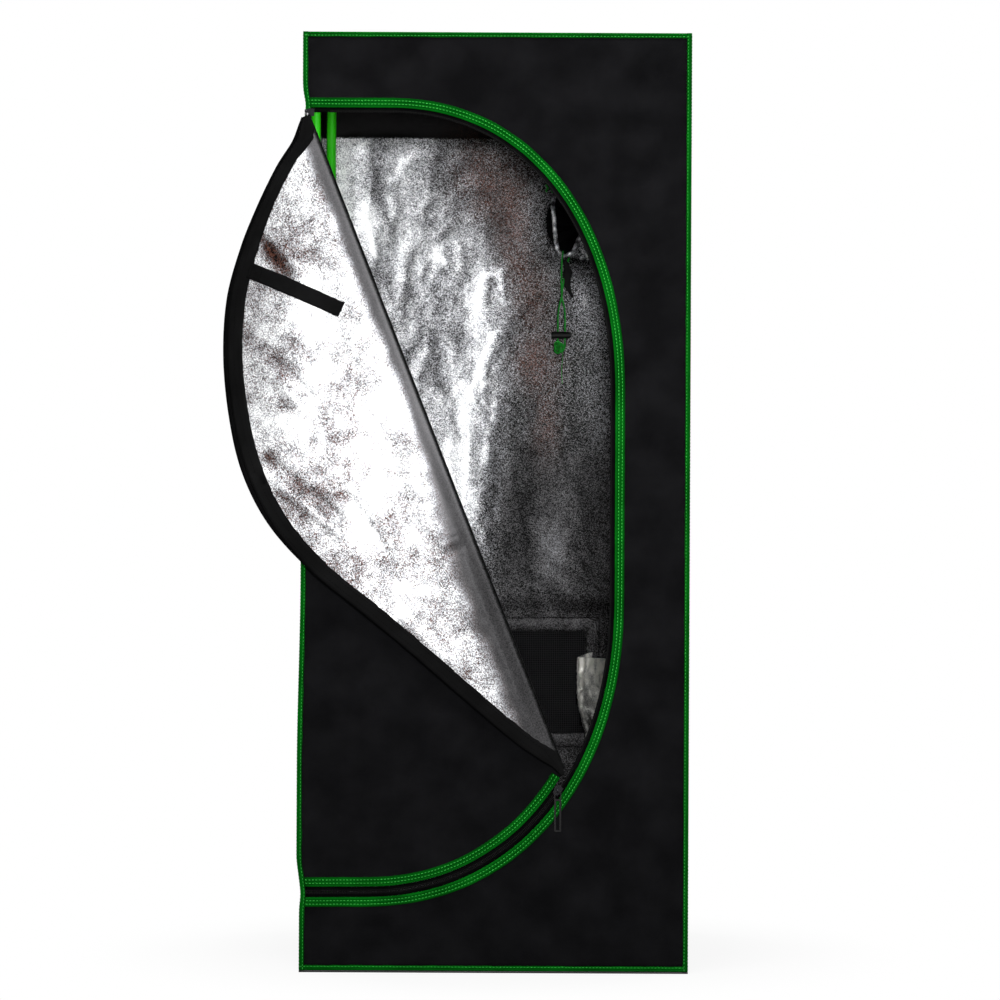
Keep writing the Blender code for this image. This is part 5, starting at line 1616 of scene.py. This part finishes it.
fit(small_bars("flap_band_stitches", before, 0.0026, 0.0007, 0.0003, black_tape), "door", "black_webbing")

face = TAPE_THICKNESS / 2
tape_section = [(0.0, face), (0.5, face * 1.2), (1.0, face), (1.0, -face), (0.0, -face)]
tape = flap_band("flap_tape", 0.0, TAPE_WIDTH, 0.0, tape_section, black_tape)
fit(tape, "door", "black_webbing", "flap_zip_tape")
teeth = []
for centre, along, out in flap_spots(COIL_WIDTH / 2, -face, COIL_PITCH, -1.0):
    teeth.append((centre, out.cross(along), out))
coil = small_bars("flap_coil", teeth, COIL_WIDTH, COIL_PITCH * 0.96, COIL_HEIGHT, coil_plastic)
fit(coil, "door", "black_webbing")

# Tie strap: 25 mm black webbing, sewn on at the band with a crossed box of stitches. Its free end, cut
# square and sealed, lies loose across the film.

STRAP_SEWN = Vector((-0.3870, 1.1010))
STRAP_TIP = Vector((-0.2417, 1.0380))
STRAP_WIDTH = 0.0250
STRAP_THICKNESS = 0.0014
STRAP_LIFT = 0.0025
STRAP_TIP_LIFT = 0.0030
STRAP_RIB = 0.00008
STRAP_STEPS = 60
STRAP_COLUMNS = 8
STRAP_RUN = STRAP_TIP - STRAP_SEWN
STRAP_ALONG = STRAP_RUN.normalized()
STRAP_SIDE = right_of(STRAP_RUN)

strap_rings = []
for step in range(STRAP_STEPS + 1):
    share = step / STRAP_STEPS
    middle = STRAP_SEWN.lerp(STRAP_TIP, share)
    lift = STRAP_LIFT + STRAP_TIP_LIFT * smooth_step((share - 0.55) / 0.4)
    ring = []
    for face, columns in ((1, range(STRAP_COLUMNS + 1)), (-1, range(STRAP_COLUMNS, -1, -1))):
        for i in columns:
            spot = middle - STRAP_SIDE * ((i / STRAP_COLUMNS - 0.5) * STRAP_WIDTH)
            thin = 0.8 if i in (0, STRAP_COLUMNS) else 1.0
            rib = STRAP_RIB if face > 0 and i % 2 == 0 else 0.0
            ring.append(lifted_point(spot.x, spot.y, lift + face * STRAP_THICKNESS / 2 * thin + rib))
    strap_rings.append(ring)
strap = loft("tie_strap", strap_rings, webbing)
fit(strap, "tie_strap", "black_webbing", "flap_tie_strap")

seams = []
corners = [(0.004, -0.008), (0.004, 0.008), (0.020, 0.008), (0.020, -0.008)]
for a, b in [(0, 1), (1, 2), (2, 3), (3, 0), (0, 2), (1, 3)]:
    (au, av), (bu, bv) = corners[a], corners[b]
    count = round(math.hypot(bu - au, bv - av) / 0.0028)
    for k in range(count):
        u = au + (bu - au) * (k + 0.5) / count
        v = av + (bv - av) * (k + 0.5) / count
        spot = STRAP_SEWN + STRAP_ALONG * u - STRAP_SIDE * v
        along = (STRAP_ALONG * (bu - au) - STRAP_SIDE * (bv - av)).normalized()
        centre = lifted_point(spot.x, spot.y, STRAP_LIFT + STRAP_THICKNESS / 2)
        out = (lifted_point(spot.x, spot.y, 1.0) - lifted_point(spot.x, spot.y, 0.0)).normalized()
        seams.append((centre, Vector((along.x, 0.0, along.y)), out))
fit(small_bars("strap_stitches", seams, 0.0021, 0.0006, 0.0004, black_tape), "tie_strap", "black_webbing")

# Zip sliders and pulls: die-cast metal, each slider on the zip with its stamped pull hung from its bail. The
# sliders and the long lower pull are near black, and the short upper pull is bright nickel.

slider_metal = hard_finish(
    "slider_metal", (0.010, 0.010, 0.011), (0.05, 0.05, 0.05), 160.0, 0.6, 0.00003, {"Metallic": 1.0}, 0.24
)
pull_metal = hard_finish(
    "pull_metal",
    (0.004, 0.004, 0.004),
    (0.012, 0.011, 0.011),
    130.0,
    0.7,
    0.00004,
    {"Specular IOR Level": 0.12},
    0.20,
)
bright_nickel = hard_finish(
    "bright_nickel", (0.30, 0.30, 0.30), (0.50, 0.50, 0.50), 130.0, 0.6, 0.00003, {"Metallic": 1.0}, 0.18
)
coat_nodes(slider_metal, "lower_zip_slider", "upper_zip_slider")
coat_nodes(bright_nickel, "upper_zip_pull")
coat_nodes(pull_metal, "lower_zip_pull")

# Duct port: a short cuff of film, gathered inside the tent on its drawcord, and a long black sleeve outside
# that its own cord draws shut. The cuff's hem is twisted tight over the cord.

PLEATS = 10
CUFF_START_Y = 0.3020
CUFF_LENGTH = 0.026
CUFF_STEPS = 10
CUFF_SHARE = 0.985
CUFF_PLEAT = 0.0022
HEM_THICKNESS = 0.0075
HEM_TWIST = 0.020
SLEEVE_START_Y = 0.3038
SLEEVE_LENGTH = 0.115
SLEEVE_STEPS = 60
SLEEVE_SIDES = 160
SLEEVE_SEED = 8.1
HEM_Y = 0.2772
# The cuff's twisted hem: nearly straight on the left and drawn to a corner where the cord comes out
HEM_RUN = (
    (0.1030, 1.2790),
    (0.0975, 1.2640),
    (0.0955, 1.2460),
    (0.0975, 1.2280),
    (0.0985, 1.2100),
    (0.1005, 1.1920),
    (0.1035, 1.1740),
    (0.1090, 1.1630),
    (0.1160, 1.1605),
    (0.1230, 1.1640),
    (0.1290, 1.1680),
    (0.1350, 1.1780),
    (0.1430, 1.1960),
    (0.1560, 1.2060),
    (0.1740, 1.2110),
    (0.1930, 1.2230),
    (0.2060, 1.2430),
    (0.2020, 1.2680),
    (0.1830, 1.2860),
    (0.1570, 1.2930),
    (0.1260, 1.2900),
)
# The sleeve's profile: shares of its length, of the port's radius and of it again for the pleats' height
SLEEVE_SHARES = (
    (0.00, 0.985, 0.000),
    (0.20, 1.020, 0.020),
    (0.45, 0.900, 0.045),
    (0.66, 0.560, 0.055),
    (0.80, 0.215, 0.028),
    (0.87, 0.205, 0.028),
    (1.00, 0.420, 0.085),
)
NECK_SHARE, NECK_WIDTH, NECK_PLEAT = 0.835, 0.215, 0.028
NECK_SHARES = (
    (0.775, 0.05),
    (0.785, 0.60),
    (0.80, 0.85),
    (0.835, 0.85),
    (0.87, 0.85),
    (0.885, 0.60),
    (0.895, 0.05),
)


def sleeve_ring(along, radius, height):
    """A ring of the sleeve round the port: big pleats, with small uneven ones between them."""
    ring = []
    y = SLEEVE_START_Y + SLEEVE_LENGTH * along
    for turn in turns_of(SLEEVE_SIDES) + [0.0]:
        across, up = math.cos(turn), math.sin(turn)
        uneven = ripple(across * 2.1, up * 2.1, SLEEVE_SEED)
        small = 0.35 * math.cos(PLEATS * 3 * turn + 5 * uneven) + 0.5 * uneven
        reach = PORT_RADIUS * (radius + height * (math.cos(PLEATS * turn) + small))
        reach += 0.0008 * ripple(across * 9, up * 9, along * 6 + SLEEVE_SEED) * min(1.0, 5 * along)
        ring.append(Vector((PORT_X + reach * across, y, PORT_Z + reach * up)))
    return ring


cuff_film = film_finish("cuff_film", 0.0010)
hem_line = smooth_route([(x, HEM_Y, z) for x, z in HEM_RUN + HEM_RUN[:1]], 10)[:-1]
hem_middle = Vector((PORT_X, HEM_Y, PORT_Z))
wall_middle = Vector((PORT_X, CUFF_START_Y, PORT_Z))
points = []
places = []
for row in range(CUFF_STEPS + 1):
    share = row / CUFF_STEPS
    for i, spot in enumerate(hem_line):
        out = (spot - hem_middle).normalized()
        wall_spot = wall_middle + Vector((out.x, 0.0, out.z)) * (PORT_RADIUS * CUFF_SHARE)
        pleat = CUFF_PLEAT * math.sin(math.pi * share) * math.cos(PLEATS * 3 * math.atan2(out.z, out.x))
        points.append(wall_spot.lerp(spot, share) + out * pleat)
        places.append((PORT_RADIUS * 2 * math.pi * i / len(hem_line), CUFF_LENGTH * share))
faces = grid_faces(CUFF_STEPS + 1, len(hem_line), closed=True)


def cuff_turned_out(spot):
    """Right of the drawcord the cuff's film side is pulled over to the front."""
    turn = math.degrees(math.atan2(spot.z - PORT_Z, spot.x - PORT_X))
    return smooth_step((turn + 120.0) / 6.0) * smooth_step(-turn / 20.0)


cuff = piece("duct_cuff", points, faces, places, [black_cloth, cuff_film])
shades = []
for p in points:
    # Painted shade: the cuff's film is dim, and where it is turned out its gathers are painted lighter and
    # darker
    fold = ripple(math.atan2(p.z - PORT_Z, p.x - PORT_X) * 9.0, 3.0, 0.5)
    dim_shade = 0.25 + 0.25 * ripple(p.x * 60.0, 7.0, p.z * 60.0)
    shades.append(dim_shade + cuff_turned_out(p) * (0.22 + 0.45 * fold))
set_film(cuff, shades)
thicken(cuff)
for face in cuff.data.polygons:
    if cuff_turned_out(face.center) > 0.5:
        face.material_index = 1
fit(cuff, "tent", "silver_lining", "inner_duct_cuff")

hem = rope("cuff_hem", hem_line, HEM_THICKNESS, 2, HEM_TWIST, cuff_film, closed=True)
set_film(hem, [0.60 + 0.9 * noise.noise(v.co * 130.0) for v in hem.data.vertices], 0.5)
fit(hem, "tent", "silver_lining")

sleeve_rings = []
places = []
for row in range(SLEEVE_STEPS + 1):
    along, radius, height = spline_point(SLEEVE_SHARES, (len(SLEEVE_SHARES) - 1) * row / SLEEVE_STEPS)
    sleeve_rings.append(sleeve_ring(along, radius, height))
    places += [(turn * PORT_RADIUS, along * SLEEVE_LENGTH) for turn in turns_of(SLEEVE_SIDES) + [0.0]]
points = sum(sleeve_rings, [])
faces = grid_faces(SLEEVE_STEPS + 1, SLEEVE_SIDES + 1)
sleeve = piece("duct_sleeve", points, faces, places, [black_cloth, black_cloth])
# The drawn cloth fills the neck: rings at shares of the sleeve's length, each at a share of its own width
neck_folds = []
for share, reach in NECK_SHARES:
    middle = Vector((PORT_X, SLEEVE_START_Y + SLEEVE_LENGTH * share, PORT_Z))
    nearest = min(sleeve_rings, key=lambda ring: abs(ring[0].y - SLEEVE_START_Y - SLEEVE_LENGTH * share))
    neck_folds.append([middle + (Vector((p.x, middle.y, p.z)) - middle) * reach for p in nearest[:-1]])
thicken(sleeve)
fit(sleeve, "tent", "black_cloth", "outer_duct_sleeve")
gathers = loft("sleeve_neck_folds", neck_folds, black_cloth)
fit(gathers, "tent", "black_cloth")

neck_y = SLEEVE_START_Y + SLEEVE_LENGTH * NECK_SHARE
neck_radius = PORT_RADIUS * (NECK_WIDTH + NECK_PLEAT) + CLOTH / 2 + CLEARANCE + CORD_DIAMETER / 2
neck_route = []
for turn in turns_of(96):
    across, up = neck_radius * math.cos(turn), neck_radius * math.sin(turn)
    neck_route.append(Vector((PORT_X + across, neck_y, PORT_Z + up)))
neck_cord = rope(
    "sleeve_drawcord", neck_route, CORD_DIAMETER, CORD_PLIES, CORD_TWIST, green_cord, closed=True
)
fit(neck_cord, "tent", "green_cord", "outer_drawcord")

# Cord lock: a barrel of moulded black plastic with a spring button in its end. Both strands of the drawcord
# run through its bore, and the button's spring holds them.

lock_plastic = hard_finish(
    "lock_plastic",
    (0.003, 0.003, 0.003),
    (0.012, 0.012, 0.012),
    120.0,
    0.5,
    0.00004,
    {"Specular IOR Level": 0.15},
    0.40,
)
coat_nodes(lock_plastic, "inner_cord_lock", "cord_lock_button")

# Vent window: a net of fine black threads with the closed outer cover behind it, framed inside by a sewn
# border of film. The lining flap that closes it from inside hangs open at the right, crumpled.

NET_PITCH = 0.0032
NET_THREAD = 0.0008
NET_Y = 0.3029
WINDOW_SEAM = 0.004
BORDER = 0.0250
# Sections across the border, from the window's edge outwards: share of its width, and height
BORDER_SECTION = (
    (0.0, 0.0),
    (0.0, 0.0010),
    (0.15, 0.0014),
    (0.5, 0.0026),
    (0.85, 0.0014),
    (1.0, 0.0008),
    (1.0, 0.0),
)
BORDER_SEAMS = (0.004, 0.0225)

net_points = []
net_places = []
net_faces = []


def net_thread(start, end, phase):
    """One thread of the net, three-sided, that weaves over and under the others."""
    run = end - start
    count = round(run.length / NET_PITCH)
    across = Vector((-run.z, 0.0, run.x)).normalized()
    first = len(net_points)
    for i in range(count + 1):
        lift = NET_THREAD * 0.42 * (1 if (i + phase) % 2 else -1)
        spot = start + run * (i / count) + y_axis * lift
        for turn in turns_of(3):
            net_points.append(spot + (across * math.cos(turn) + y_axis * math.sin(turn)) * (NET_THREAD / 2))
            net_places.append((run.length * i / count, turn * NET_THREAD))
    for i in range(count):
        for k in range(3):
            a = first + i * 3
            net_faces.append((a + k, a + (k + 1) % 3, a + 3 + (k + 1) % 3, a + 3 + k))


net_half = WINDOW_HALF_WIDTH + WINDOW_SEAM
net_foot = WINDOW_FOOT_Z - WINDOW_SEAM
net_height = WINDOW_TOP_Z - WINDOW_FOOT_Z + 2 * WINDOW_SEAM
columns = round(2 * net_half / NET_PITCH)
rows = round(net_height / NET_PITCH)
for i in range(columns + 1):
    x = -net_half + 2 * net_half * i / columns
    net_thread(Vector((x, NET_Y, net_foot)), Vector((x, NET_Y, WINDOW_TOP_Z + WINDOW_SEAM)), i)
for i in range(rows + 1):
    z = net_foot + net_height * i / rows
    net_thread(Vector((-net_half, NET_Y, z)), Vector((net_half, NET_Y, z)), i + 1)
net_yarn = cord_finish("net_yarn", (0.018, 0.018, 0.019), (0.050, 0.050, 0.052))
net = piece("vent_net_threads", net_points, net_faces, net_places, [net_yarn])
fit(net, "tent", "black_webbing", "vent_net")

cover = grid_cloth(
    "vent_outer_cover",
    Vector((-net_half, NET_Y + 0.0006 + CLOTH / 2, net_foot)),
    Vector((2 * net_half, 0.0, 0.0)),
    Vector((0.0, 0.0, net_height)),
    Vector((0.0, 1.0, 0.0)),
    lambda u, v: 0.0,
    [black_cloth, black_cloth],
    lambda spot: -1.0,
)
thicken(cover)
fit(cover, "tent", "black_cloth")


def window_loop(past):
    """The window's outline, this far past its edge."""
    half = WINDOW_HALF_WIDTH + past
    return rectangle(-half, half, WINDOW_FOOT_Z - past, WINDOW_TOP_Z + past)


rings = []
wall_face = SKIN - CLOTH
seams = []
border_line = even_loop(window_loop(0.0), 0.006)
for i, point in enumerate(border_line + border_line[:1]):
    right = abs(abs(point.x) - WINDOW_HALF_WIDTH) < 1e-6
    level = abs(point.y - WINDOW_FOOT_Z) < 1e-6 or abs(point.y - WINDOW_TOP_Z) < 1e-6
    out_x = math.copysign(1.0, point.x) if right else 0.0
    out_z = math.copysign(1.0, point.y - WINDOW_MIDDLE_Z) if level else 0.0
    out = Vector((out_x, out_z))
    ring = []
    for share, lift in BORDER_SECTION:
        spot = point + out * (share * BORDER - 0.001)
        puff = 1 + 0.8 * ripple(spot.x * 60, share * 3, spot.y * 60)
        rise = lift * (puff if 0.1 < share < 0.9 else 1.0)
        ring.append(Vector((spot.x, wall_face - 0.0002 - rise, spot.y)))
    rings.append(ring)
border = loft("window_border", rings, wall_film, ends=False)
# Painted shade: the border's film is painted dim and plain
set_film(border, [film_shade(v.co.x * 2, 9.0, v.co.z * 2, 0.10, 0.10) for v in border.data.vertices], 0.3)
fit(border, "tent", "silver_lining")
for past in BORDER_SEAMS:
    loop = window_loop(past)
    for a, b in zip(loop, loop[1:] + loop[:1]):
        count = round((b - a).length / STITCH_PITCH)
        along = (b - a).normalized()
        for k in range(count):
            spot = a.lerp(b, (k + 0.5) / count)
            centre = Vector((spot.x, wall_face - 0.0016, spot.y))
            seams.append((centre, Vector((along.x, 0.0, along.y)), -y_axis))
fit(small_bars("window_stitches", seams, 0.0028, 0.0007, 0.0005, black_tape), "tent", "black_webbing")

# The flap's run seen from above, from its seam to its free end
VENT_FLAP_RUN = (
    (0.1700, 0.3014),
    (0.1530, 0.2950),
    (0.1405, 0.2840),
    (0.1430, 0.2690),
    (0.1580, 0.2510),
    (0.1770, 0.2310),
    (0.1880, 0.2010),
    (0.1950, 0.1600),
    (0.2020, 0.1150),
    (0.2090, 0.0650),
    (0.2160, 0.0200),
)
VENT_FLAP_HEIGHT = 0.196
VENT_SAG = 0.012
VENT_TOP_FOLD = 0.046
VENT_FOOT_SHADE = 0.75
HOOK_TABS = (0.040, 0.012, -0.024, -0.060)
vent_film = film_finish("vent_flap_film", 0.0012, (1.0, 0.98, 0.90))
points = []
places = []
shades = []
columns, rows = 90, 50


def vent_point(share, v):
    """A point of the flap, at a share of its run and a height from its middle."""
    spot = spline_point(VENT_FLAP_RUN, (len(VENT_FLAP_RUN) - 1) * share)
    ahead = spline_point(VENT_FLAP_RUN, (len(VENT_FLAP_RUN) - 1) * min(1.0, share + 0.01)) - spot
    if share > 0.98:
        ahead = Vector(VENT_FLAP_RUN[-1]) - Vector(VENT_FLAP_RUN[-2])
    free = smooth_step(5 * share)
    u = share * vent_length
    wave = -free * (crumple(u, 6.0, v, 0.030, 0.011) + crumple(u, 2.0, v, 0.012, 0.0040))
    side = right_of(ahead)
    sag = VENT_SAG * free * (0.55 + 0.45 * v / VENT_FLAP_HEIGHT)
    lean = 0.013 * free * smooth_step((-v - 0.010) / 0.085)
    return Vector((spot.x + side.x * wave + lean, spot.y + side.y * wave, WINDOW_MIDDLE_Z + v - sag))


vent_length = length_of([Vector(place) for place in VENT_FLAP_RUN])
for row in range(rows + 1):
    for column in range(columns + 1):
        share = column / columns
        v = (VENT_FLAP_HEIGHT - VENT_TOP_FOLD) * row / rows - VENT_FLAP_HEIGHT / 2
        points.append(vent_point(share, v))
        places.append((share * vent_length, v))
        # Painted shade: the flap's foot is darker, and above it the film is painted bright
        foot_shade = VENT_FOOT_SHADE * smooth_step((-v - 0.02) / 0.07)
        shades.append(film_shade(share * 0.9, 3.3, v * 3, 0.95, 0.9) - foot_shade)
faces = grid_faces(rows + 1, columns + 1)
vent_flap = piece("vent_flap_film", points, faces, places, [vent_film, vent_film])
set_film(vent_flap, shades, 0.45)
thicken(vent_flap, inner_finish=0)
tabs = []
for v in HOOK_TABS:
    centre = vent_point(0.135, v) + Vector((-0.0050, -0.0040, 0.0))
    tabs.append((centre, z_axis, Vector((-0.8, -0.6, 0.0))))
hooks = small_bars("vent_hook_tabs", tabs, 0.018, 0.0100, 0.0022, webbing)
for thing in (vent_flap, hooks):
    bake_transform(thing)
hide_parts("vent_flap")

# Floor tray: a loose tray of coated black cloth with welded corners and a rolled rim. It lies on the floor
# inside the base rails and catches spilled water.

TRAY_HALF = 0.270
TRAY_FOOT_Z = 0.0042
TRAY_CORNER = 0.020
TRAY_BEND = 0.005
# The rolled rim in section: share of the tray's half width, and height
TRAY_RIM = ((0.9995, 0.0470), (0.9985, 0.0485), (0.9965, 0.0490), (0.9945, 0.0484), (0.9938, 0.0468))
tray_finish = woven_finish(
    "tray_cloth", (0.008, 0.008, 0.009), (0.022, 0.022, 0.023), 0.0016, 0.0002, 0.34, 0.45, amount=0.8
)


def tray_loop(half, corner_radius):
    """A square with rounded corners, anticlockwise from above."""
    loop = []
    centre = half - corner_radius
    for quarter, (sx, sy) in enumerate(((1, 1), (-1, 1), (-1, -1), (1, -1))):
        for step in range(9):
            turn = math.pi / 2 * (quarter + step / 8)
            across, back = corner_radius * math.cos(turn), corner_radius * math.sin(turn)
            loop.append(Vector((sx * centre + across, sy * centre + back)))
    return even_loop(loop, 0.012)


tray_outline = tray_loop(TRAY_HALF, TRAY_CORNER)


def tray_ring(share, lift):
    """A ring of the tray: a share of its outline, this far above its underside."""
    return [Vector((p.x * share, p.y * share, TRAY_FOOT_Z + lift)) for p in tray_outline]


rings = [tray_ring(0.06 + 0.94 * i / 22, 0.0) for i in range(22)]
for i in range(4):
    turn = math.pi / 2 * i / 3
    inset = TRAY_BEND * (1 - math.sin(turn))
    rings.append(tray_ring(1 - inset / TRAY_HALF, TRAY_BEND * (1 - math.cos(turn))))
rings += [tray_ring(1.0, TRAY_BEND + 0.040 * i / 7) for i in range(1, 8)]
rings += [tray_ring(share, lift) for share, lift in TRAY_RIM]
tray = loft("tray_cloth", rings, tray_finish, ends=False)
work = bmesh.new()
work.from_mesh(tray.data)
hole = [edge for edge in work.edges if edge.is_boundary and edge.verts[0].co.length < 0.05]
bmesh.ops.holes_fill(work, edges=hole, sides=0)
work.to_mesh(tray.data)
work.free()
for vertex in tray.data.vertices:
    x, y, z = vertex.co
    side = smooth_step((z - TRAY_FOOT_Z) / 0.03)
    wave = 0.0016 * ripple(x * 14.0, y * 14.0, 4.0) * side
    edge = max(abs(x), abs(y))
    calm = smooth_step((TRAY_HALF - 0.01 - edge) / 0.03) * smooth_step((edge - 0.01) / 0.02)
    lift = 0.0014 * abs(ripple(x * 12.0, y * 12.0, 1.0)) * calm
    drawn_in = 1 - abs(wave) / TRAY_HALF
    vertex.co = Vector((x * drawn_in, y * drawn_in, z + lift))
layer = tray.data.uv_layers["cloth"]
for loop in tray.data.loops:
    x, y, z = tray.data.vertices[loop.vertex_index].co
    layer.data[loop.index].uv = (x + z, y)
thicken(tray, inner_finish=0)
fit(tray, "tray", "black_cloth", "floor_tray")

# Room: a white floor that keeps the tent's shadow and fades to plain white, a white surround, a soft light
# above the front, two behind the sides and a small one into the open door.

FLOOR_REACH = 6.0
floor_finish, tree, shader = new_finish("studio_floor", {"Roughness": 0.9, "Specular IOR Level": 0.0})
shader.inputs["Base Color"].default_value = (0.50, 0.50, 0.50, 1.0)
place = add_node(tree, "TexCoord").outputs["Object"]
far = add_node(tree, "VectorMath", {0: place}, operation="LENGTH").outputs["Value"]
fade = add_node(
    tree, "MapRange", {0: far, 1: 0.30, 2: 0.72, 3: 0.90, 4: 1.0}, interpolation_type="SMOOTHSTEP"
)
rays = add_node(tree, "LightPath").outputs
seen = reckon(tree, "MAXIMUM", rays["Is Camera Ray"], rays["Is Glossy Ray"])
plain = add_node(tree, "Emission", {"Color": (1.0, 1.0, 1.0, 1.0), "Strength": 1.0})
mix = add_node(tree, "MixShader")
feed(tree, mix.inputs[0], reckon(tree, "MULTIPLY", seen, fade.outputs[0]))
feed(tree, mix.inputs[1], shader.outputs[0])
feed(tree, mix.inputs[2], plain.outputs[0])
tree.links.new(mix.outputs[0], tree.nodes["Material Output"].inputs["Surface"])
corners = [(sx * FLOOR_REACH, sy * FLOOR_REACH, 0) for sx, sy in ((-1, -1), (1, -1), (1, 1), (-1, 1))]
studio_floor = piece("studio_floor", corners, [(0, 1, 2, 3)], [(0, 0)] * 4, [floor_finish])
studio_floor.location.z = -0.0002

world = bpy.data.worlds.new("surround")
bpy.context.scene.world = world
world.use_nodes = True
tree = world.node_tree
rays = add_node(tree, "LightPath").outputs
bent = reckon(tree, "MAXIMUM", rays["Is Glossy Ray"], rays["Is Transmission Ray"])
seen = reckon(tree, "MAXIMUM", rays["Is Camera Ray"], bent)
sky = tree.nodes["Background"]
sky.inputs["Color"].default_value = (1.0, 1.0, 1.0, 1.0)
feed(tree, sky.inputs["Strength"], reckon(tree, "MULTIPLY_ADD", seen, 0.75, 0.25))


def soft_light(name, place, target, size, power, spread):
    data = bpy.data.lights.new(name, "AREA")
    data.shape = "SQUARE"
    data.size = size
    data.energy = power
    data.spread = math.radians(spread)
    light = bpy.data.objects.new(name, data)
    light.location = place
    light.rotation_euler = (Vector(target) - Vector(place)).to_track_quat("-Z", "Y").to_euler()
    bpy.context.scene.collection.objects.link(light)


soft_light("top_softbox", (-0.4, -1.35, 4.0), (0.0, 0.0, 0.9), 1.0, 112.0, 180.0)
soft_light("left_rear_softbox", (-2.4, 2.2, 2.4), (0.0, 0.2, 0.8), 1.6, 70.0, 180.0)
soft_light("right_rear_softbox", (2.4, 2.2, 2.4), (0.0, 0.2, 0.8), 1.6, 70.0, 180.0)
soft_light("door_light", (0.2, -3.4, 1.0), (0.0, 0.0, 1.0), 0.35, 8.0, 60.0)

bpy.context.scene.view_settings.view_transform = "Standard"
